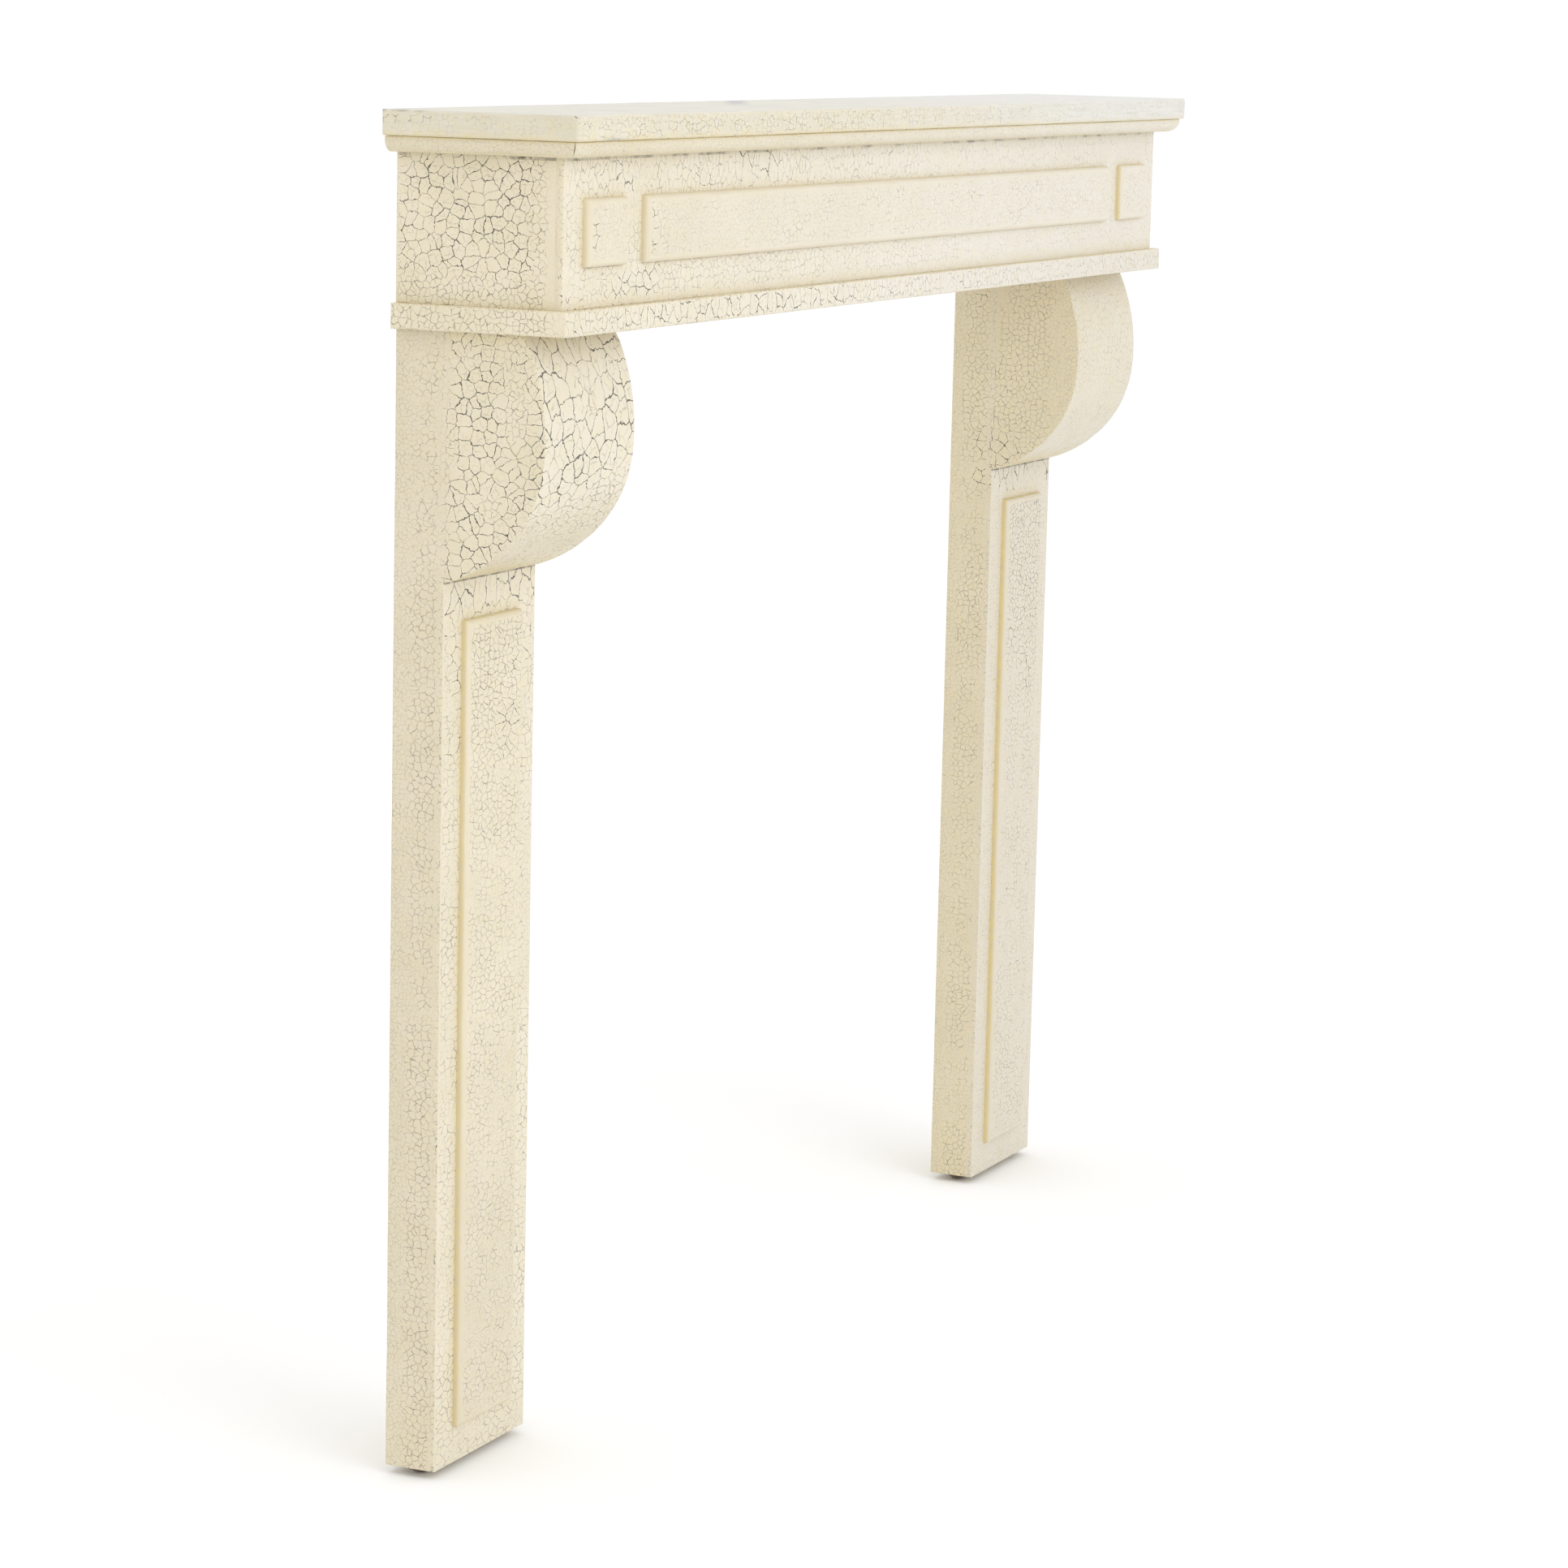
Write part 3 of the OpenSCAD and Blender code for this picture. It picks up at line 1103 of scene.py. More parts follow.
@dataclass
class Shelf(Board):
    """The mantel shelf, in smoother and whiter paint, worn at its corners.

    Attributes:
        chip: Depth of the chip off its near corner, in mm.
        end: Place of its left end, in mm.
        scuff: Place and reach of the grey scuff under its front edge, in mm.
        rub: Place, slant and reach of the grey rub on its top, in mm.
    """

    easing: dict = field(default_factory=lambda: rim_edges(1.9, 2.2, 2.0))
    rest: float = 0.6
    chip: float = 1.6
    end: float = -622.0
    scuff: tuple[float, float] = (-565.0, 26.0)
    rub: tuple[float, float, float] = (-30.0, 2.0, 26.0)

    def shape(self) -> bpy.types.Mesh:
        """Build the shelf and knock a chip off its near corner.

        Returns:
            The mesh, at its place in the frame.
        """
        near = self.low.x / MM
        front = self.low.y / MM
        self.extra = (tuple(near + i * 0.9 for i in range(3, 14)),
                      tuple(front + i * 0.9 for i in range(3, 14)), (8.9, 8.2, 7.4, 6.5))
        mesh = super().shape()
        skin = read_skin(mesh)
        place = np.stack([skin.x - near, skin.y - front, skin.z - 9.5], axis=1)
        bite = rise(np.linalg.norm(place * (0.5, 0.75, 1.0), axis=1), 4.2, 1.2)
        ragged = 0.55 + 0.9 * skin.patches(2.2, 9.0)
        push = np.array([0.5, 0.45, -1.0]) * self.chip * MM
        moved = skin.at + push * (bite * ragged)[:, None]
        move_points(mesh, np.clip(moved, skin.low, skin.high))
        return mesh

    def paint(self, skin: Skin) -> None:
        """Paint the top smooth and the edges faintly crackled, and wear the corners.

        Args:
            skin: The skin, whose strengths it sets.
        """
        rim = 1.0 - skin.looks(Side.TOP)
        fade = (0.7 + 0.3 * skin.patches(90.0, 4.0)) * (1.0 - 0.5 * rise(skin.x, -150.0, 420.0))
        skin.mid = 0.95 * rim * fade
        skin.fine = 0.7 * rim * fade + 0.08
        spots = rise(skin.patches(60.0, 5.0), 0.4, 0.7)
        skin.bold = 0.5 * rim * spots * rise(skin.x, 250.0, -150.0)
        left = skin.looks(Side.LEFT)
        faint = 1.0 - 0.55 * left
        skin.mid *= faint
        skin.fine *= faint
        high_back = hump(skin.z, 4.0, 3.6) * rise(skin.y, -60.0, -34.0) * left
        skin.bold = np.maximum(skin.bold * (1.0 - left), 0.85 * high_back)
        # painted shade on the left end
        skin.painted_shade = 0.15 * left
        skin.calm_edges((Side.TOP, Side.UNDER), 0.5, 4.0)
        # glaze and painted shade on the edges, stronger towards the left and along the under edge
        # over the moulding
        skin.glaze_and_shade = 0.3 * rim * rise(skin.x, 500.0, -300.0) + 0.3 * rim * rise(skin.z, -5.0, -9.0)
        # painted sheen, stronger towards the right and on the top
        skin.pale = rise(skin.x, -200.0, 560.0) * (0.55 + 0.45 * skin.looks(Side.TOP))
        corner = np.hypot(skin.x - skin.low[0] / MM, skin.y - skin.low[1] / MM)
        skin.bare = rise(corner, 7.0, 1.5) * rise(skin.z, 6.0, 8.5)
        skin.worn = (hump(skin.x, *self.scuff) * rise(skin.z, -6.0, -9.0)
                     * rise(skin.y, -155.0, -158.0))
        top = skin.looks(Side.TOP)
        place, slant, reach = self.rub
        across = np.abs(skin.x - place - slant * skin.y)
        rub = rise(across, reach, 10.0) * rise(skin.y, -105.0, -20.0)
        skin.lift("worn", 0.9 * rub * top)
        back = rise(skin.y, -20.0, -2.0) * rise(skin.patches(14.0, 6.0), 0.6, 0.75)
        skin.lift("worn", 0.4 * back * top)
        edge = rise(np.abs(skin.x - self.end), 1.6, 0.5) * rise(skin.z, 7.2, 8.6)
        spots = rise(skin.patches(9.0, 7.0), 0.4, 0.6)
        skin.seam = 0.55 * edge * rise(skin.y, -46.0, -24.0) * spots


def front_fields(skin: Skin, strength: float) -> None:
    """Let the crackle soften from the left to the right of the mantelpiece.

    Args:
        skin: The skin.
        strength: How much weaker it is at the right, 0 to 1.
    """
    keep = 1.0 - strength * rise(skin.x, -420.0, 380.0)
    skin.bold *= keep
    skin.mid *= 0.35 + 0.65 * keep
    skin.fine *= 0.5 + 0.5 * keep


def dark_joint(skin: Skin, size: float, full: float) -> Numbers:
    """Give the broken dark line at the joint under the moulding.

    Args:
        skin: The skin.
        size: Rough length of its dark stretches, in mm.
        full: Noise at which a stretch is fully dark, 0 to 1.

    Returns:
        The strength of the line at each point.
    """
    streak = rise(skin.patches(size, 8.0), 0.35, full)
    return rise(skin.z, JOINT_ROWS[-1], JOINT_ROWS[1]) * (0.06 + 0.5 * streak)


@dataclass
class FriezeFront(Board):
    """The frieze's facing board, with tall cracks that run down from the moulding."""

    easing: dict = field(default_factory=lambda: upright_edges(Side.FRONT, 1.2))
    rest: float = 0.0
    flush: tuple[Side, ...] = (Side.BACK, Side.TOP, Side.UNDER)
    spread: float = field(default=0.72, kw_only=True)

    def shape(self) -> bpy.types.Mesh:
        """Build the board, with close rows at the joint under the moulding.

        Returns:
            The mesh, at its place in the frame.
        """
        below = tuple(PANEL_FOOT - gap for gap in (-0.4, 0.4, 1.2, 2.4))
        self.extra = ((), (), JOINT_ROWS + below)
        return super().shape()

    def front_height(self, depth: Numbers, height: Numbers) -> Numbers:
        """Stretch the cells under the moulding and above the base board."""
        return stretched(height, -9.5, -40.0, 0.62, 14.0) * 0.85

    def paint(self, skin: Skin) -> None:
        """Paint the cracks, the glaze and painted shade round the panels, over the base and under
        the moulding, a painted contact shadow under the panels, and a painted sheen and shade to
        the right.

        Args:
            skin: The skin, whose strengths it sets.
        """
        under = rise(skin.z, -66.0, -34.0)
        low = rise(skin.z, -96.0, -104.0) * rise(skin.x, -380.0, -470.0)
        spots = rise(skin.patches(70.0, 3.0), 0.35, 0.6)
        skin.bold = 0.62 * under * spots + 0.7 * low * rise(skin.patches(60.0, 4.0), 0.3, 0.5)
        skin.mid = 0.72 - 0.15 * skin.patches(80.0, 6.0)
        skin.fine = 0.4 + 0.2 * skin.patches(40.0, 7.0)
        front_fields(skin, 0.7)
        skin.calm_edges((Side.UNDER, Side.LEFT), 1.5, 7.0)
        front = skin.looks(Side.FRONT)
        # painted sheen, stronger towards the right
        skin.pale = front * (0.35 + 0.6 * rise(skin.x, -600.0, 300.0))
        # painted shade towards the right
        skin.painted_shade = 0.12 * front * rise(skin.x, 0.0, 500.0)
        # glaze and painted shade in the corner over the base board
        skin.glaze_and_shade = 0.2 * rise(skin.z, -120.0, -129.0) * front
        skin.seam = dark_joint(skin, 15.0, 0.85)
        for start, end in PANEL_SPANS:
            beside = rise(skin.x, start - 7.0, start) * rise(skin.x, end + 5.0, end)
            # glaze and painted shade round the panel
            above = rise(skin.z, -44.0, -50.0) * rise(skin.z, -104.0, -100.0) * beside
            left = rise(skin.x, start - 5.0, start) * rise(skin.x, start + 5.0, start)
            left = left * rise(skin.z, -48.0, -52.0) * rise(skin.z, -103.0, -99.0)
            skin.lift("glaze_and_shade", np.maximum(0.26 * above, 0.35 * left))
            # dark joint with a painted contact shadow along the panel's foot
            along = rise(skin.x, start - 1.0, start + 2.0) * rise(skin.x, end + 1.0, end - 2.0)
            line = along * hump(skin.z, PANEL_FOOT, 0.9)
            skin.lift("seam", line * (0.25 + 0.5 * rise(skin.x, 0.0, -560.0)))
        # painted shade under the moulding, with glaze
        skin.lift("glaze_and_shade", 0.2 * rise(skin.z, JOINT - 6.0, JOINT))


@dataclass
class FriezeEnd(Board):
    """An end board of the frieze box, with the boldest crackle."""

    easing: dict = field(default_factory=lambda: upright_edges(Side.BACK, 0.8))
    rest: float = 0.0
    flush: tuple[Side, ...] = (Side.FRONT, Side.TOP, Side.UNDER)

    def paint(self, skin: Skin) -> None:
        """Paint large open cells, with some glaze and painted shade in the corners.

        Args:
            skin: The skin, whose strengths it sets.
        """
        middle = rise(skin.y, -126.0, -100.0) * rise(skin.z, -124.0, -98.0)
        uneven = 0.55 + 0.45 * skin.patches(70.0, 6.0)
        skin.bold = middle * uneven * (1.0 if self.is_left else 0.6)
        corner = rise(skin.y, -129.0, -118.0)
        skin.mid = 0.95 * corner
        skin.fine = (0.35 + 0.3 * skin.patches(25.0, 3.0)) * (0.35 + 0.65 * corner)
        skin.calm_edges((Side.BACK, Side.UNDER), 0.5, 4.0)
        # glaze and painted shade in the corners over the base board and under the moulding
        skin.glaze_and_shade = 0.2 * rise(skin.z, -122.0, -130.0) + 0.08 * rise(skin.z, -30.0, -21.0)
        skin.seam = dark_joint(skin, 18.0, 0.8)

    def shape(self) -> bpy.types.Mesh:
        """Build the board, with close rows at the joint under the moulding."""
        self.extra = ((), (), JOINT_ROWS)
        return super().shape()


@dataclass
class FriezeBase(Board):
    """The base board under the frieze, with tall cells along its front."""

    easing: dict = field(default_factory=lambda: rim_edges(1.5, 1.5, 1.6))
    spread: float = field(default=0.8, kw_only=True)

    def front_height(self, depth: Numbers, height: Numbers) -> Numbers:
        """Stretch the cells over the whole edge."""
        return height * 0.66

    def paint(self, skin: Skin) -> None:
        """Paint the edge, bolder towards the left.

        Args:
            skin: The skin, whose strengths it sets.
        """
        skin.bold = 0.38 + 0.42 * skin.patches(80.0, 2.0)
        skin.mid = np.ones(len(skin.at)) * 0.95
        skin.fine = 0.4 + 0.3 * skin.patches(40.0, 3.0)
        side = skin.looks(Side.LEFT)
        corner = 1.0 - 0.7 * side * rise(skin.y, -124.0, -136.0)
        skin.bold *= (1.0 - 0.5 * side) * corner
        skin.mid *= corner
        skin.fine *= corner
        front_fields(skin, 0.6)
        skin.calm_edges((Side.TOP, Side.UNDER), 0.3, 3.0)
        # painted sheen, stronger towards the right
        skin.pale = skin.looks(Side.FRONT) * (0.3 + 0.65 * rise(skin.x, -600.0, 300.0))
        # painted shade towards the right
        skin.painted_shade = 0.18 * skin.looks(Side.FRONT) * rise(skin.x, -300.0, 500.0)
        # glaze and painted shade on the top ledge and the under side
        skin.glaze_and_shade = 0.3 * skin.looks(Side.TOP) + 0.12 * skin.looks(Side.UNDER)


@dataclass
class RaisedPanel(Board):
    """A thin raised panel with a soft border, free of cracks, that carries glaze and painted
    shade.

    Attributes:
        border: Radius of the soft border, in mm.
        bed: How deep it sits in the board behind it, in mm.
        openness: How much more its middling cracks show.
        wall_glaze_and_shade: How thick the glaze and painted shade lie on the border's walls, 0 to
            1.
    """

    step: float = 6.0
    border: float = 4.0
    bed: float = 0.6
    openness: float = 1.0
    wall_glaze_and_shade: float = 0.2

    def shape(self) -> bpy.types.Mesh:
        """Build the panel, bedded a little into the board behind it.

        Returns:
            The mesh, at its place in the frame.
        """
        around = (Side.LEFT, Side.RIGHT, Side.UNDER, Side.TOP)
        easing = {(Side.FRONT, side): self.border for side in around}
        corners = {(across, along): 1.6 for across in around[:2] for along in around[2:]}
        low, high = self.low, self.high
        high.y += self.bed * MM
        mesh = eased_block(self.node, low, high, easing | corners, 0.0, 5)
        cuts = []
        for axis in range(3):
            low_mm, high_mm = low[axis] / MM, high[axis] / MM
            extra = tuple(low_mm + gap for gap in (4.4, 6.0)) if axis != 1 else ()
            extra += tuple(high_mm - gap for gap in (4.4, 6.0)) if axis != 1 else ()
            cuts.append(cut_lines(low[axis], high[axis], self.step, extra))
        slice_mesh(mesh, tuple(cuts))
        settle(mesh, self.waves, self.nicks * 0.6, self.seed, (Side.BACK,))
        return mesh

    def paint(self, skin: Skin) -> None:
        """Paint fine cells on the field, and glaze and painted shade round the border.

        Args:
            skin: The skin, whose strengths it sets.
        """
        flat = skin.looks(Side.FRONT)
        edge = np.minimum.reduce([skin.gap(s) for s in (Side.LEFT, Side.RIGHT, Side.UNDER,
                                                        Side.TOP)])
        inside = flat * rise(edge, 3.0, 7.0)
        upper = 0.25 * rise(skin.z, -560.0, -400.0) * rise(skin.z, -360.0, -364.0)
        skin.mid = inside * (0.4 + 0.2 * skin.patches(60.0, 2.0) + upper) * self.openness
        skin.fine = inside * (0.45 + 0.25 * skin.patches(60.0, 3.0))
        skin.bold = inside * self.boldness(skin)
        # glaze and painted shade on the border's walls
        wall = (1.0 - flat) * rise(skin.y, skin.low[1] / MM, skin.low[1] / MM + 4.0)
        skin.glaze_and_shade = np.maximum(self.wall_glaze_and_shade * wall, 0.18 * (1.0 - flat))
        skin.lift("glaze_and_shade", 0.08 * rise(edge, 7.0, 3.0))
        # painted sheen on the field
        skin.pale = flat * self.painted_sheen_amount(skin)
        # painted shade
        skin.painted_shade = self.painted_shade_amount(skin)

    def painted_shade_amount(self, skin: Skin) -> Numbers:
        """Give how strong the painted shade on the panel is."""
        return 0.1 * skin.looks(Side.FRONT)

    def boldness(self, skin: Skin) -> Numbers:
        """Give the strength of the bold cracks over the field."""
        near = rise(skin.gap(Side.LEFT), 26.0, 8.0) * rise(skin.x, 300.0, -300.0)
        return 0.7 * near * rise(skin.patches(30.0, 4.0), 0.35, 0.6)

    def painted_sheen_amount(self, skin: Skin) -> Numbers:
        """Give how strong the painted sheen on the field is."""
        return 0.3 + 0.55 * rise(skin.x, -600.0, 300.0)


@dataclass
class PilasterPanel(RaisedPanel):
    """A tall raised panel on a pilaster."""

    openness: float = 1.35

    def boldness(self, skin: Skin) -> Numbers:
        """Give the strength of the bold cracks over the field."""
        return 0.58 * rise(skin.patches(80.0, 5.0), 0.55, 0.8) * rise(skin.z, -700.0, -520.0)

    def painted_sheen_amount(self, skin: Skin) -> Numbers:
        """Give how strong the painted sheen on the field is."""
        return np.full(len(skin.at), 0.15 if self.is_left else 0.7)

    def painted_shade_amount(self, skin: Skin) -> Numbers:
        """Give how strong the painted shade on the panel is.

        Args:
            skin: The skin.

        Returns:
            How strong the painted shade is at each point, 0 to 1.
        """
        # painted shade: on the left leg towards the foot and on the walls, on the right leg all
        # over
        if self.is_left:
            wall = 0.26 * (1.0 - skin.looks(Side.FRONT))
            return 0.06 + 0.14 * rise(skin.z, -640.0, -840.0) + wall
        return 0.58 - 0.27 * skin.looks(Side.FRONT)


@dataclass
class PilasterPost(Board):
    """A pilaster's post, crackled finely at the back and more openly towards the front."""

    easing: dict = field(default_factory=lambda: upright_edges(Side.BACK, 1.0))
    rest: float = 0.0
    flush: tuple[Side, ...] = (Side.FRONT, Side.TOP)

    def paint(self, skin: Skin) -> None:
        """Paint the sides."""
        paint_leg_side(skin, self.is_left)


def paint_leg_side(skin: Skin, is_left: bool) -> None:
    """Paint the side that a post, its facing and its corbel share, in one go.

    The cracks are fine at the back edge and open out towards the belly of the corbel.

    Args:
        skin: The skin.
        is_left: Whether it is the left leg.
    """
    ahead = rise(skin.y, -3.0, -22.0 if is_left else -15.0)
    belly = rise(skin.y, -26.0, -58.0)
    if is_left:
        patch = rise(skin.patches(60.0, 2.0), 0.15, 0.5)
        run = rise(skin.patches(120.0, 3.0), 0.55, 0.8)
        skin.bold = belly * (0.6 + 0.32 * patch) + (1.0 - belly) * ahead * run * 0.5
    else:
        patch = rise(skin.patches(60.0, 7.0), 0.42, 0.66)
        near = rise(skin.y, -14.0, -30.0) * rise(skin.y, -84.0, -56.0)
        skin.bold = 0.72 * patch * near * (0.3 + 0.7 * rise(skin.z, -420.0, -340.0))
    rim = rise(skin.y, -122.0, -84.0) if not is_left else 1.0
    open_cells = ahead * rim * (0.6 + 0.3 * rise(skin.patches(90.0, 3.0), 0.3, 0.6))
    skin.mid = 0.3 + 0.62 * open_cells
    skin.fine = (1.0 - 0.6 * open_cells) * (0.75 + 0.25 * skin.patches(60.0, 4.0))
    # glaze and painted shade, more towards the foot and all over the right leg
    skin.glaze_and_shade = 0.1 * rise(skin.z, -900.0, -1005.0) + (0.0 if is_left else 0.16)
    # painted shade: on the left leg towards the back, on the right leg all over
    if is_left:
        skin.painted_shade = 0.04 + 0.15 * rise(skin.y, -62.0, -30.0)
    else:
        skin.mid *= 0.92
        skin.painted_shade = np.full(len(skin.at), 0.33)


def mix_in(skin: Skin, front: Numbers, name: str, value: Numbers) -> None:
    """Use another strength where the skin faces the front.

    Args:
        skin: The skin.
        front: How far each point faces the front, 0 to 1.
        name: The strength's name.
        value: Its value on the front.
    """
    beside = getattr(skin, name)
    setattr(skin, name, beside * (1.0 - front) + value * front)


@dataclass
class PilasterFace(Board):
    """A pilaster's facing board, with tall cracks that hang from the corbel.

    Attributes:
        toe: Where the corbel ends on it, in mm.
    """

    easing: dict = field(default_factory=lambda: upright_edges(Side.FRONT, 1.0))
    rest: float = 0.0
    flush: tuple[Side, ...] = (Side.BACK, Side.TOP)
    spread: float = field(default=0.6, kw_only=True)
    toe: float = -334.0

    def shape(self) -> bpy.types.Mesh:
        """Build the board, with close rows at the corbel's toe and square corners behind it.

        Returns:
            The mesh, at its place in the frame.
        """
        rows = tuple(self.toe - gap for gap in (-1.0, -0.2, 0.6, 1.4, 2.6))
        self.extra = ((), (), rows)
        mesh = super().shape()
        skin = read_skin(mesh)
        beside = np.minimum(skin.gap(Side.LEFT), skin.gap(Side.RIGHT))
        ahead = skin.gap(Side.FRONT)
        eased, same = 1.3, 0.02
        covered = (skin.z > self.toe + 0.5) & (beside < eased) & (ahead < eased)
        at = skin.at.copy()
        out = covered & (beside <= ahead + same)
        is_low = skin.gap(Side.LEFT) < skin.gap(Side.RIGHT)
        at[out, 0] = np.where(is_low, skin.low[0], skin.high[0])[out]
        at[covered & (ahead <= beside + same), 1] = skin.low[1]
        move_points(mesh, at)
        return mesh

    def front_height(self, depth: Numbers, height: Numbers) -> Numbers:
        """Stretch the cells under the corbel."""
        return stretched(height, self.toe + 10.0, self.toe - 20.0, 0.45, 12.0) * 0.85

    def paint(self, skin: Skin) -> None:
        """Paint the tall cracks, the strips beside the panel, and the dark joint.

        Args:
            skin: The skin, whose strengths it sets.
        """
        front = skin.looks(Side.FRONT)
        hang = rise(skin.z, self.toe - 34.0, self.toe - 18.0)
        patch = rise(skin.patches(70.0, 5.0), 0.42, 0.7)
        weak = 1.0 if self.is_left else 0.6
        paint_leg_side(skin, self.is_left)
        aside = np.abs(np.abs(skin.x) - LEG_MIDDLE)
        calm = rise(aside, 72.0, 69.0)
        upper = rise(skin.z, -620.0, -430.0)
        mix_in(skin, front, "bold", np.maximum(0.7 * hang, 0.5 * patch * upper) * weak * calm)
        mix_in(skin, front, "mid", (0.55 + 0.25 * skin.patches(60.0, 3.0)) * weak * calm)
        mix_in(skin, front, "fine", (0.45 + 0.25 * skin.patches(50.0, 4.0)) * calm)
        # painted sheen, much stronger on the right leg
        skin.pale = front * (0.25 if self.is_left else 0.75)
        # painted shade, stronger on the right leg
        mix_in(skin, front, "painted_shade", np.full(len(skin.at), 0.02 if self.is_left else 0.26))
        # glaze and painted shade in the strip beside the panel and over its top
        edge = front * rise(aside, 40.0, 44.5)
        inner = edge * rise(aside, 49.0, 45.0)
        height = rise(skin.z, -355.0, -362.0) * rise(skin.z, -990.0, -983.0)
        skin.glaze_and_shade = 0.5 * inner * height
        over = rise(skin.z, -355.0, -363.0) * rise(skin.z, -368.0, -364.0)
        across = rise(aside, 50.0, 42.0)
        skin.lift("glaze_and_shade", 0.35 * over * across * front)
        line = rise(skin.z, self.toe - 1.1, self.toe - 0.4) * rise(skin.z, -330.0, -333.0)
        skin.seam = front * line * (0.7 + 0.3 * skin.patches(12.0, 6.0))


@dataclass
class Corbel(Piece):
    """A bowed corbel: three arcs that run into one another, all one width.

    Angles are measured down from level, at each arc's middle.

    Attributes:
        out: How far the belly stands out, in mm.
        drop: Depth of the belly below the head, in mm.
        radii: Radii of the upper curve, the shoulder and the toe, in mm.
        joins: Angles where the curves meet, in degrees.
        softness: Radius of the edges beside the bowed front, in mm.
        column: Spacing of its grid across the front, in mm.
        waves: Depth of the slow waves, in mm.
        nicks: Depth of the knocks, in mm.
    """

    spread: float = field(default=0.54, kw_only=True)
    out: float = 82.0
    drop: float = 76.0
    radii: tuple[float, float, float] = (163.0, 100.0, 120.0)
    joins: tuple[float, float] = (6.5, 45.0)
    softness: float = 1.1
    column: float = 5.0
    waves: float = 0.18
    nicks: float = 0.4

    def bow(self) -> Numbers:
        """Draw the bowed front from the head to the toe.

        Returns:
            Points of [out, down], and the outward direction at each, in mm.
        """
        upper, shoulder, toe = self.radii
        first, second = (math.radians(angle) for angle in self.joins)
        middle = np.array([self.out - upper, self.drop])
        middle_two = middle + (upper - shoulder) * np.array([math.cos(first), math.sin(first)])
        middle_three = middle_two + (shoulder - toe) * np.array(
            [math.cos(second), math.sin(second)])
        head = -math.asin(self.drop / upper)
        end = math.acos(-middle_three[0] / toe)
        rows = []
        arcs = ((middle, upper, head, first), (middle_two, shoulder, first, second),
                (middle_three, toe, second, end))
        for centre, radius, start, stop in arcs:
            count = max(4, round(abs(stop - start) * radius / 4.0))
            for step in range(count):
                angle = start + (stop - start) * step / count
                way = (math.cos(angle), math.sin(angle))
                rows.append((centre[0] + radius * way[0], centre[1] + radius * way[1], *way))
        way = (math.cos(end), math.sin(end))
        rows.append((middle_three[0] + toe * way[0], middle_three[1] + toe * way[1], *way))
        return np.array(rows)

    def stations(self, width: float) -> list[tuple[float, float]]:
        """List the points across the front, round at both edges.

        Args:
            width: Width of the corbel, in mm.

        Returns:
            How far across and how far inwards each point lies, in mm.
        """
        soft = self.softness
        turns = [math.radians(angle) for angle in (0.0, 22.5, 45.0, 67.5, 90.0)]
        edge = [(soft * (1.0 - math.cos(t)), soft * (1.0 - math.sin(t))) for t in turns]
        count = max(2, round(width / self.column)) + 1
        inner = [(across, 0.0) for across in np.linspace(soft, width - soft, count)[1:-1]]
        return edge + inner + [(width - across, inset) for across, inset in reversed(edge)]

    def shape(self) -> bpy.types.Mesh:
        """Build the corbel from its bowed front, its sides, its head and its back.

        Returns:
            The mesh, at its place in the frame.
        """
        bow = self.bow()
        soft = self.softness
        width = (self.high.x - self.low.x) / MM
        stations = self.stations(width)
        face = self.high.y / MM
        head = self.high.z / MM
        bm = bmesh.new()

        def spot(across: float, out: float, down: float) -> bmesh.types.BMVert:
            """Place a point of the corbel."""
            place = (self.low.x / MM + across, face - out, head - down)
            return bm.verts.new([value * MM for value in place])

        def quilt(rows: list) -> None:
            """Fill a grid of points with faces.

            Args:
                rows: The rows of points, all of one length.
            """
            for upper, lower in zip(rows, rows[1:]):
                for a, b, c, d in zip(upper, upper[1:], lower[1:], lower):
                    bm.faces.new((a, b, c, d))

        def inward(index: int, inset: float) -> tuple[float, float]:
            """Move a point of the bow inwards, and keep the first one on the flat head.

            Args:
                index: The point's number, from the head.
                inset: How far it moves, in mm.

            Returns:
                How far out and how far down it lies, in mm.
            """
            out, down, way_out, way_down = bow[index]
            level = 0.0 if index == 0 else max(0.0, down - inset * way_down)
            return max(0.0, out - inset * way_out), level

        rows = 12
        shares = [row / rows for row in range(rows + 1)]
        points = range(len(bow))
        quilt([[spot(across, *inward(i, inset)) for across, inset in stations] for i in points])
        quilt([[spot(across, 0.0, inward(i, soft)[1]) for across, _ in stations] for i in points])
        quilt([[spot(across, inward(0, inset)[0] * share, 0.0) for across, inset in stations]
               for share in shares])
        for across in (0.0, width):
            rims = [inward(i, soft) for i in points]
            quilt([[spot(across, out * share, down) for share in shares] for out, down in rims])
        last = points[-1]
        quilt([[spot(across, 0.0, inward(last, soft)[1]) for across, _ in stations],
               [spot(across, 0.0, inward(last, inset)[1]) for across, inset in stations]])
        bmesh.ops.remove_doubles(bm, verts=bm.verts[:], dist=0.02 * MM)
        bmesh.ops.dissolve_degenerate(bm, edges=bm.edges[:], dist=0.01 * MM)
        bmesh.ops.recalc_face_normals(bm, faces=bm.faces[:])
        mesh = bpy.data.meshes.new(self.node)
        bm.to_mesh(mesh)
        bm.free()
        settle(mesh, self.waves, self.nicks, self.seed, (Side.BACK, Side.TOP))
        return mesh

    def front_height(self, depth: Numbers, height: Numbers) -> Numbers:
        """Measure the map along the bow, slower at the top so that cells come out tall.

        Args:
            depth: Depths, in metres; not used.
            height: Heights, in metres.

        Returns:
            The map's height, in metres.
        """
        bow = self.bow()
        lengths = np.hypot(np.diff(bow[:, 0]), np.diff(bow[:, 1]))
        run = np.concatenate([[0.0], np.cumsum(lengths)])
        rate = 0.52 + 0.55 * rise(run, 70.0, 160.0)
        path = np.concatenate([[0.0], np.cumsum(rate[1:] * lengths)])
        down = self.high.z / MM - height / MM
        return -np.interp(down, bow[:, 1], path) * MM

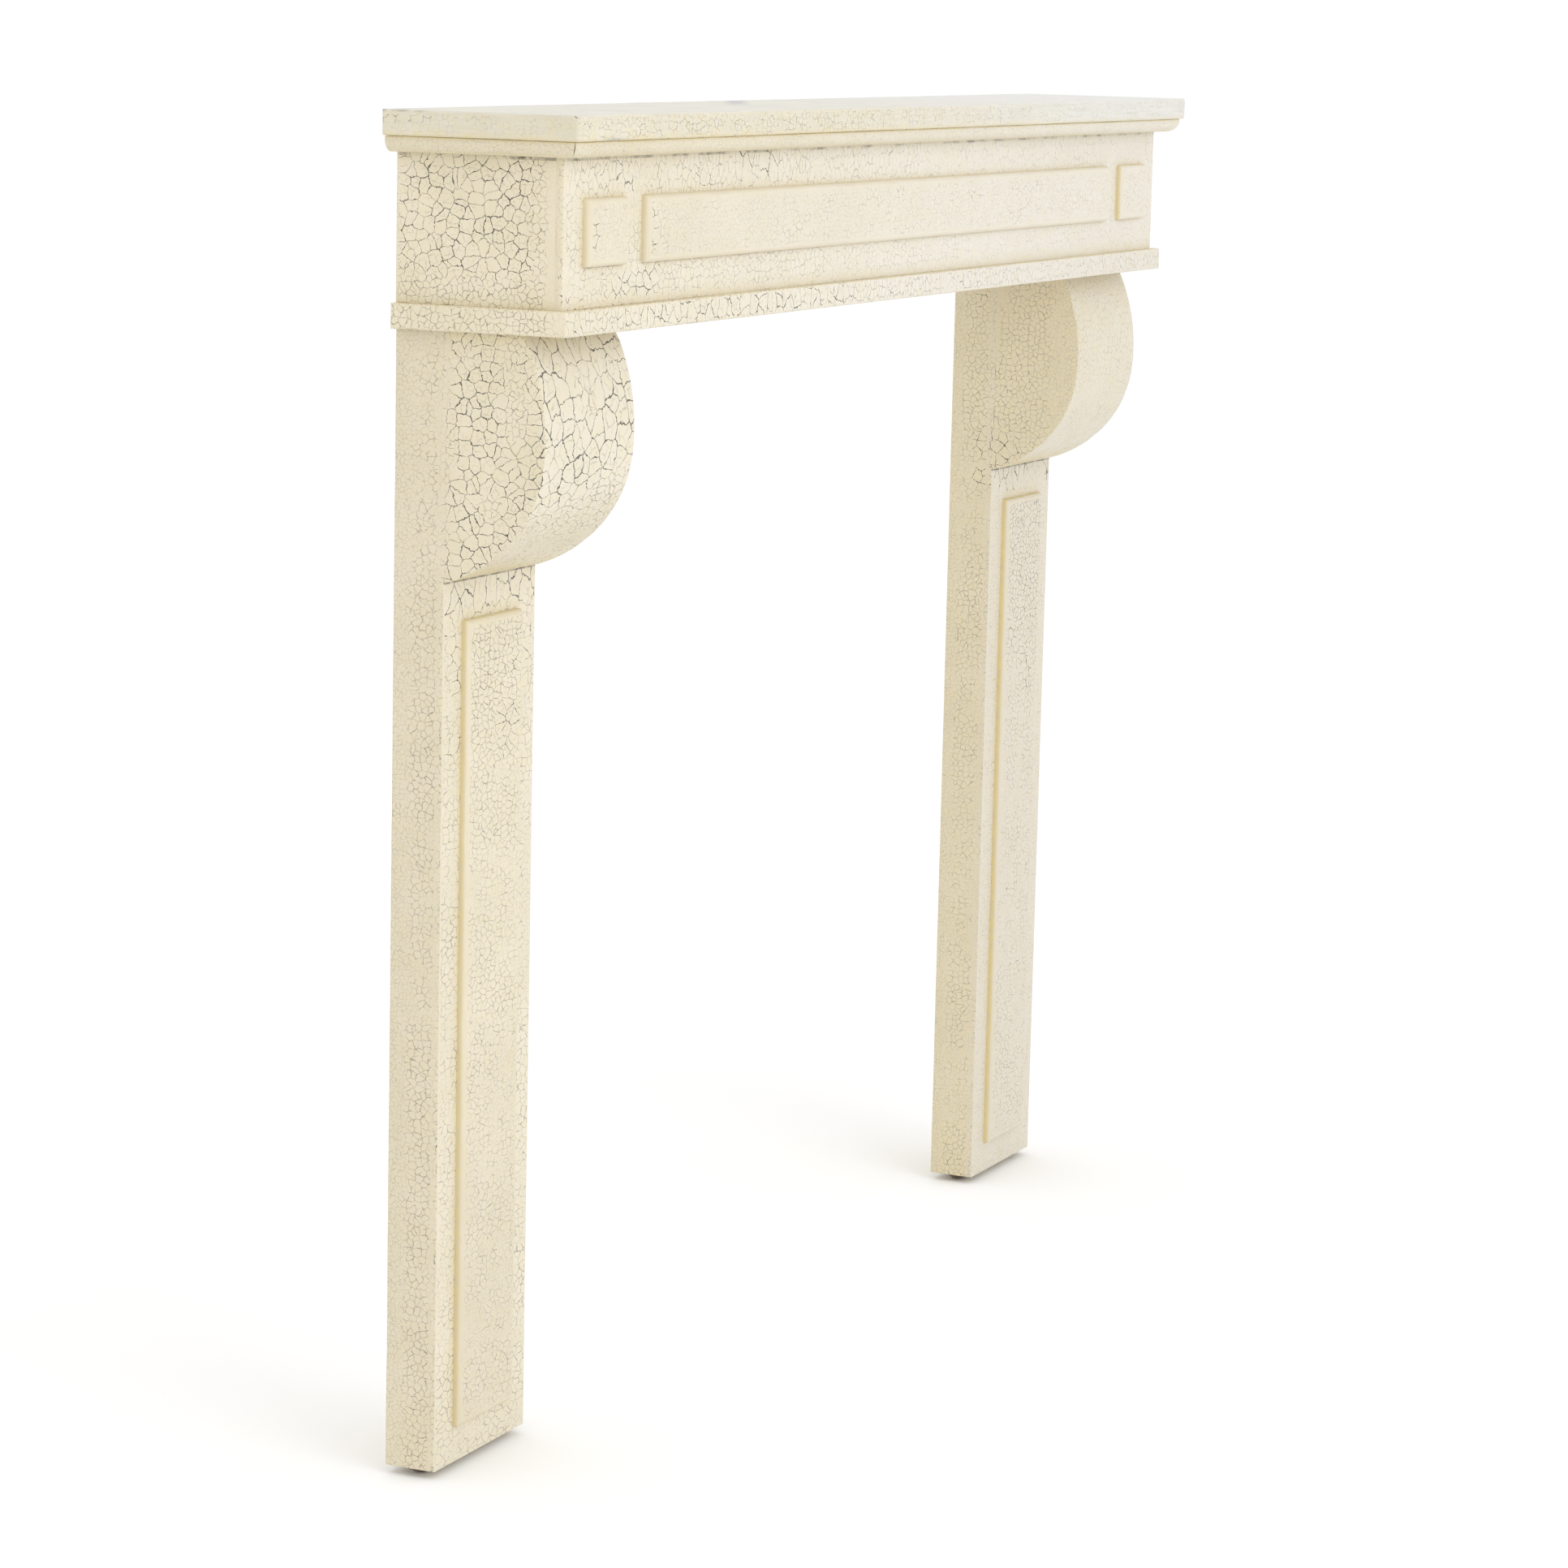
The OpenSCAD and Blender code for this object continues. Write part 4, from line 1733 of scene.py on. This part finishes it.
    def paint(self, skin: Skin) -> None:
        """Paint the sides openly, the bow boldly above and finely below.

        Args:
            skin: The skin, whose strengths it sets.
        """
        side = np.maximum(skin.looks(Side.LEFT), skin.looks(Side.RIGHT))
        front = 1.0 - side
        below = rise(skin.facing[:, 2], -0.3, -0.75)
        paint_leg_side(skin, self.is_left)
        if self.is_left:
            spots = 0.6 + 0.4 * skin.patches(50.0, 5.0)
            mix_in(skin, front, "bold", (0.9 - 0.75 * below) * spots)
            mix_in(skin, front, "mid", 0.95 - 0.25 * below)
            mix_in(skin, front, "fine", 0.5 + 0.25 * skin.patches(30.0, 3.0))
        else:
            mix_in(skin, front, "bold", below * 0.0)
            mix_in(skin, front, "mid", 0.25 * skin.patches(40.0, 5.0))
            mix_in(skin, front, "fine", 0.45 + 0.4 * skin.patches(30.0, 3.0))
        # painted sheen, much stronger on the right corbel
        skin.pale = front * (0.35 if self.is_left else 0.85)
        # painted shade: under the left corbel, all over the right one
        mix_in(skin, front, "painted_shade", 0.22 * below if self.is_left else np.full(len(skin.at), 0.24))
        # glaze with a painted shadow under the base board's lip, and painted shade on the under
        # side and at the toe
        under = rise(skin.z, -162.0, -150.0)
        toe = rise(skin.z, -312.0, -332.0) * front
        skin.lift("glaze_and_shade", 0.3 * under + 0.15 * below * front + 0.5 * toe)
        rim = rise(skin.looks(Side.LEFT), 0.02, 0.4) * rise(skin.looks(Side.LEFT), 0.99, 0.6)
        skin.lift("glaze_and_shade", (0.3 if self.is_left else 0.8) * rim)


class GrownTree:
    """A node tree that grows a mesh from a few named sizes.

    Attributes:
        tree: The tree.
        recipe: Builds its nodes.
        keys: The identifier of each named size.
        given: The sizes, as sockets.
    """

    def __init__(self, name: str, sizes: dict[str, float]) -> None:
        """Start the tree with its sizes.

        Args:
            name: The tree's name.
            sizes: The usual value of each named size.
        """
        self.tree = bpy.data.node_groups.new(name, "GeometryNodeTree")
        self.recipe = Recipe(self.tree)
        face = self.tree.interface
        face.new_socket("Geometry", in_out="OUTPUT", socket_type="NodeSocketGeometry")
        self.keys = {}
        for key, value in sizes.items():
            socket = face.new_socket(key, in_out="INPUT", socket_type="NodeSocketFloat")
            socket.default_value = value
            self.keys[key] = socket.identifier
        self.given = self.recipe.add("NodeGroupInput", {}).outputs

    def hand_out(self, shape: bpy.types.NodeSocket, material: bpy.types.Material) -> None:
        """End the tree with the grown shape in its material.

        Args:
            shape: The grown shape.
            material: Its finish.
        """
        real = self.recipe.add("GeometryNodeRealizeInstances", {0: shape})
        painted = self.recipe.add("GeometryNodeSetMaterial", {
            "Geometry": real.outputs[0], "Material": material})
        self.recipe.add("NodeGroupOutput", {0: painted.outputs[0]})

    def grow(self, name: str, sizes: dict[str, float]) -> bpy.types.Mesh:
        """Run the tree once and keep its result as a plain mesh.

        Args:
            name: Name of the mesh.
            sizes: Values for the named sizes.

        Returns:
            The mesh.
        """
        holder = bpy.data.objects.new(name, bpy.data.meshes.new(name))
        modifier = holder.modifiers.new("grow", "NODES")
        modifier.node_group = self.tree
        for key, value in sizes.items():
            modifier[self.keys[key]] = value
        bpy.context.scene.collection.objects.link(holder)
        return evaluated_copy(holder, name)


class MouldingTree(GrownTree):
    """Runs the moulding's section along a length, X along, Y out, Z down, and mitres it."""

    def __init__(self, material: bpy.types.Material) -> None:
        """Build the tree.

        Args:
            material: The moulding's finish.
        """
        super().__init__("moulding_length", {
            "Length": 1.0, "Out": 0.018, "High": 0.012, "Nose": 0.01, "Arris": 0.0008,
            "Start Mitre": 1.0, "End Mitre": 1.0})
        tree, recipe, given = self.tree, self.recipe, self.given
        line = recipe.add("GeometryNodeCurvePrimitiveLine", {
            "Start": (0.0, 0.0, 0.0), "End": (0.0, 0.0, 1.0)})
        count = recipe.sum("ROUND", recipe.sum("DIVIDE", given["Length"], 5.0 * MM))
        path = recipe.add("GeometryNodeResampleCurve", {0: line.outputs[0]})
        whole = recipe.add("FunctionNodeFloatToInt", {0: count})
        tree.links.new(whole.outputs[0], path.inputs["Count"])
        section = recipe.add("GeometryNodeCurvePrimitiveQuadrilateral", {
            "Width": given["Out"], "Height": given["High"]})
        index = recipe.add("GeometryNodeInputIndex", {}).outputs[0]
        nose = recipe.add("FunctionNodeCompare", {}, data_type="INT", operation="EQUAL")
        tree.links.new(index, nose.inputs[2])
        nose.inputs[3].default_value = 0
        radius = recipe.add("GeometryNodeSwitch", {}, input_type="FLOAT")
        tree.links.new(nose.outputs[0], radius.inputs["Switch"])
        tree.links.new(given["Arris"], radius.inputs["False"])
        tree.links.new(given["Nose"], radius.inputs["True"])
        fillet = recipe.add("GeometryNodeFilletCurve", {
            "Curve": section.outputs[0], "Radius": radius.outputs[0], "Count": 9},
            mode="POLY")
        swept = recipe.add("GeometryNodeCurveToMesh", {
            "Curve": path.outputs[0], "Profile Curve": fillet.outputs[0], "Fill Caps": True})
        place = recipe.add("GeometryNodeInputPosition", {}).outputs[0]
        parts = recipe.add("ShaderNodeSeparateXYZ", {0: place}).outputs
        out = recipe.plus(parts[0], recipe.times(given["Out"], 0.5))
        down = recipe.plus(parts[1], recipe.times(given["High"], 0.5))
        inward = recipe.minus(given["Out"], out)
        start = recipe.times(inward, given["Start Mitre"])
        stop = recipe.minus(given["Length"],
                          recipe.times(inward, given["End Mitre"]))
        span = recipe.minus(stop, start)
        along = recipe.plus(start, recipe.times(span, parts[2]))
        moved = recipe.add("ShaderNodeCombineXYZ", {0: along, 1: out, 2: down})
        shaped = recipe.add("GeometryNodeSetPosition", {
            "Geometry": swept.outputs[0], "Position": moved.outputs[0]})
        self.hand_out(shaped.outputs[0], material)


@dataclass
class Moulding(Piece):
    """A length of the bed moulding, with a rounded nose and mitred ends.

    Attributes:
        tree: The tree that makes it.
        nose: Radius of its nose, in mm.
        arris: Radius of its other edges, in mm.
        turn: How the length lies, as steps along, out and down.
        mitres: Whether it starts and ends in a mitre.
        gape: How far its end mitre stands open, in mm.
        gape_at: Middle and reach of the open stretch, up and down, in mm.
        waves: Depth of the slow waves, in mm.
        nicks: Depth of the knocks, in mm.
    """

    tree: Optional[MouldingTree] = None
    nose: float = 10.0
    arris: float = 0.8
    turn: tuple[Vector, ...] = ()
    mitres: tuple[float, float] = (1.0, 1.0)
    gape: float = 0.0
    gape_at: tuple[float, float] = (-14.5, 6.5)
    waves: float = 0.12
    nicks: float = 0.35

    def shape(self) -> bpy.types.Mesh:
        """Build the length.

        Returns:
            The mesh, at its place in the frame.
        """
        along, out, down = self.turn
        size = self.high - self.low
        length = abs(size.dot(along))
        sizes = {"Length": length, "Out": abs(size.dot(out)), "High": abs(size.dot(down)),
                 "Nose": self.nose * MM, "Arris": self.arris * MM,
                 "Start Mitre": self.mitres[0], "End Mitre": self.mitres[1]}
        mesh = self.tree.grow(self.node, sizes)
        corner = Vector([self.low[i] if (along + out + down)[i] > 0 else self.high[i]
                         for i in range(3)])
        turn = Matrix((along, out, down)).transposed().to_4x4()
        mesh.transform(Matrix.Translation(corner) @ turn)
        with editing(mesh) as bm:
            bmesh.ops.remove_doubles(bm, verts=bm.verts[:], dist=0.001 * MM)
            bmesh.ops.recalc_face_normals(bm, faces=bm.faces[:])
        settle(mesh, self.waves, self.nicks, self.seed)
        skin = read_skin(mesh)
        run = (skin.at - np.array(corner)) @ np.array(along)
        out_by = (skin.at - np.array(corner)) @ np.array(out)
        slack = 0.4 * MM
        is_end = run > length - (sizes["Out"] - out_by) - slack
        pull = self.gape * MM * hump(skin.z, *self.gape_at) * is_end
        move_points(mesh, skin.at - np.array(along) * pull[:, None])
        return mesh

    def paint(self, skin: Skin) -> None:
        """Paint it faintly, with glaze and painted shade in its corners.

        Args:
            skin: The skin, whose strengths it sets.
        """
        skin.fine = 0.38 + 0.34 * skin.patches(40.0, 3.0)
        skin.mid = 0.25 * rise(skin.patches(50.0, 4.0), 0.4, 0.7)
        # glaze and painted shade in the crevices under the shelf and over the frieze
        skin.glaze_and_shade = 0.06 + 0.2 * rise(skin.z, -17.5, -21.0) + 0.8 * rise(skin.z, -11.4, -9.9)
        # painted sheen, stronger towards the right
        skin.pale = skin.looks(Side.FRONT) * (0.1 + 0.8 * rise(skin.x, -600.0, 450.0))
        # painted shade on the front, more on the left end
        skin.painted_shade = 0.12 * skin.looks(Side.FRONT) + 0.17 * skin.looks(Side.LEFT)


class GlideTree(GrownTree):
    """Turns a domed glide."""

    def __init__(self, material: bpy.types.Material) -> None:
        """Build the tree.

        Args:
            material: The glide's finish.
        """
        super().__init__("domed_glide", {"Diameter": 0.018, "Height": 0.007, "Dome": 0.005})
        recipe, given = self.recipe, self.given
        radius = recipe.times(given["Diameter"], 0.5)
        drum = recipe.add("GeometryNodeMeshCylinder", {
            "Vertices": 48, "Side Segments": 5, "Fill Segments": 7, "Radius": radius,
            "Depth": given["Height"]}, fill_type="NGON")
        place = recipe.add("GeometryNodeInputPosition", {}).outputs[0]
        parts = recipe.add("ShaderNodeSeparateXYZ", {0: place}).outputs
        square = recipe.plus(recipe.sum("POWER", parts[0], 2.0),
                            recipe.sum("POWER", parts[1], 2.0))
        share = recipe.sum("DIVIDE", square, recipe.sum("POWER", radius, 2.0))
        lift = recipe.times(recipe.sum("POWER", share, 1.35), given["Dome"])
        half = recipe.times(given["Height"], 0.5)
        depth = recipe.sum("DIVIDE", recipe.minus(half, parts[2]), given["Height"])
        up = recipe.times(lift, depth)
        shift = recipe.add("ShaderNodeCombineXYZ", {2: up}).outputs[0]
        domed = recipe.add("GeometryNodeSetPosition", {
            "Geometry": drum.outputs["Mesh"], "Offset": shift})
        self.hand_out(domed.outputs[0], material)


@dataclass
class Glide(Piece):
    """A domed glide under a foot.

    Attributes:
        tree: The tree that makes it.
        rim: Height of its straight rim, in mm.
    """

    tree: Optional[GlideTree] = None
    rim: float = 2.0

    def shape(self) -> bpy.types.Mesh:
        """Build the glide.

        Returns:
            The mesh, at its place in the frame.
        """
        size = self.high - self.low
        sizes = {"Diameter": size.x, "Height": size.z, "Dome": size.z - self.rim * MM}
        mesh = self.tree.grow(self.node, sizes)
        mesh.transform(Matrix.Translation((self.low + self.high) / 2.0))
        return mesh


# ---------------------------------------------------------------- studio

@dataclass
class Studio:
    """The pale floor, the soft light and the camera.

    Attributes:
        eye: The camera's place, in metres.
        azimuth: Its direction, from straight at the wall towards the right, in degrees.
        dip: How far it looks down, in degrees.
        roll: How far its right side is lifted, in degrees.
        lens: Its focal length on a 36 mm sensor.
        glow: Strength of the even white light all round.
        lamp: Place of the front light, in metres.
        aim: Where the front light looks, in metres.
        lamp_size: Side of the front light, in metres.
        lamp_power: Its power, in watts.
    """

    eye: tuple[float, float, float] = (-3.66894, -1.72553, 0.09630)
    azimuth: float = 65.397
    dip: float = 9.322
    roll: float = 1.312
    lens: float = 110.257
    glow: float = 1.06
    lamp: tuple[float, float, float] = (-1.9, -4.1, 1.7)
    aim: tuple[float, float, float] = (0.0, -0.07, -0.4)
    lamp_size: float = 3.0
    lamp_power: float = 42.0

    def place_camera(self) -> None:
        """Put the camera in place."""
        azimuth, dip, roll = (math.radians(v) for v in (self.azimuth, self.dip, self.roll))
        ahead = Vector((math.sin(azimuth) * math.cos(dip), math.cos(azimuth) * math.cos(dip),
                        -math.sin(dip)))
        level = Vector((math.cos(azimuth), -math.sin(azimuth), 0.0))
        up = level.cross(ahead)
        right = level * math.cos(roll) + up * math.sin(roll)
        up = right.cross(ahead)
        data = bpy.data.cameras.new("camera")
        data.lens = self.lens
        data.sensor_width = 36.0
        data.clip_start = 0.05
        data.clip_end = 500.0
        camera = bpy.data.objects.new("camera", data)
        turn = Matrix((right, up, -ahead)).transposed().to_4x4()
        camera.matrix_world = Matrix.Translation(self.eye) @ turn
        bpy.context.scene.collection.objects.link(camera)
        bpy.context.scene.camera = camera

    def lay_floor(self, height: float) -> None:
        """Lay the floor.

        Args:
            height: Its height, in metres.
        """
        mesh = bpy.data.meshes.new("floor")
        bm = bmesh.new()
        bmesh.ops.create_grid(bm, x_segments=2, y_segments=2, size=150.0)
        bmesh.ops.translate(bm, verts=bm.verts[:], vec=(0.0, 0.0, height))
        bm.to_mesh(mesh)
        bm.free()
        mesh.materials.append(StudioPaper().build())
        floor = bpy.data.objects.new("floor", mesh)
        bpy.context.scene.collection.objects.link(floor)
        floor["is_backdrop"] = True

    def hang_lights(self) -> None:
        """Light the scene evenly, with a little more from the front."""
        world = bpy.data.worlds.new("studio")
        world.use_nodes = True
        back = world.node_tree.nodes["Background"]
        back.inputs["Color"].default_value = (1.0, 1.0, 1.0, 1.0)
        back.inputs["Strength"].default_value = self.glow
        bpy.context.scene.world = world
        data = bpy.data.lights.new("front_light", "AREA")
        data.size = self.lamp_size
        data.energy = self.lamp_power
        light = bpy.data.objects.new("front_light", data)
        way = Vector(self.aim) - Vector(self.lamp)
        turn = way.to_track_quat("-Z", "Y").to_matrix().to_4x4()
        light.matrix_world = Matrix.Translation(self.lamp) @ turn
        bpy.context.scene.collection.objects.link(light)

    def set_up(self) -> None:
        """Build the whole studio."""
        self.place_camera()
        self.lay_floor(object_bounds()[0][2])
        self.hang_lights()
        bpy.context.scene.view_settings.view_transform = "Standard"
        bpy.context.scene.view_settings.look = "None"


# ---------------------------------------------------------------- assembly

def build_pieces() -> list[Piece]:
    """List every piece of the mantelpiece, from the shelf down.

    Returns:
        The pieces.
    """
    ivory = IVORY.build()
    white = SHELF_WHITE.build()
    taupe = GLIDE_TAUPE.build()
    paint = "ivory_crackle_paint"
    moulding = MouldingTree(ivory)
    glide = GlideTree(taupe)
    right, left = Vector((1.0, 0.0, 0.0)), Vector((-1.0, 0.0, 0.0))
    forward, down = Vector((0.0, -1.0, 0.0)), Vector((0.0, 0.0, -1.0))
    back = -forward
    pieces = [
        Shelf("mantel_shelf", "shelf_paint", white),
        Moulding("cornice_front", paint, ivory, tree=moulding,
                 turn=(right, forward, down)),
        Moulding("cornice_left", paint, ivory, tree=moulding,
                 turn=(forward, left, down), mitres=(0.0, 1.0), gape=0.9),
        Moulding("cornice_right", paint, ivory, tree=moulding,
                 turn=(forward, right, down), mitres=(0.0, 1.0)),
        FriezeFront("frieze_front", paint, ivory),
        FriezeEnd("frieze_end_left", paint, ivory),
        FriezeEnd("frieze_end_right", paint, ivory),
        FriezeBase("frieze_base", paint, ivory),
        RaisedPanel("frieze_panel_left", paint, ivory),
        RaisedPanel("frieze_panel_centre", paint, ivory),
        # more glaze and painted shade on the right panel's walls
        RaisedPanel("frieze_panel_right", paint, ivory, wall_glaze_and_shade=0.75),
    ]
    for hand in ("left", "right"):
        pieces += [
            PilasterPost(f"pilaster_post_{hand}", paint, ivory),
            PilasterFace(f"pilaster_face_{hand}", paint, ivory),
            # the right leg's panel walls carry more glaze and painted shade
            PilasterPanel(f"pilaster_panel_{hand}", paint, ivory,
                          wall_glaze_and_shade=0.68 if hand == "left" else 1.0),
            Corbel(f"corbel_{hand}", paint, ivory),
        ]
        for place in ("outer", "inner"):
            pieces.append(Glide(f"glide_{hand}_{place}", "glide_plastic", taupe, tree=glide))
    return pieces


def main() -> None:
    """Build the studio and every piece."""
    logging.basicConfig(level=logging.INFO, format="%(name)s %(message)s")
    Studio().set_up()
    for piece in build_pieces():
        piece.dress()


if __name__ == "__main__":
    main()
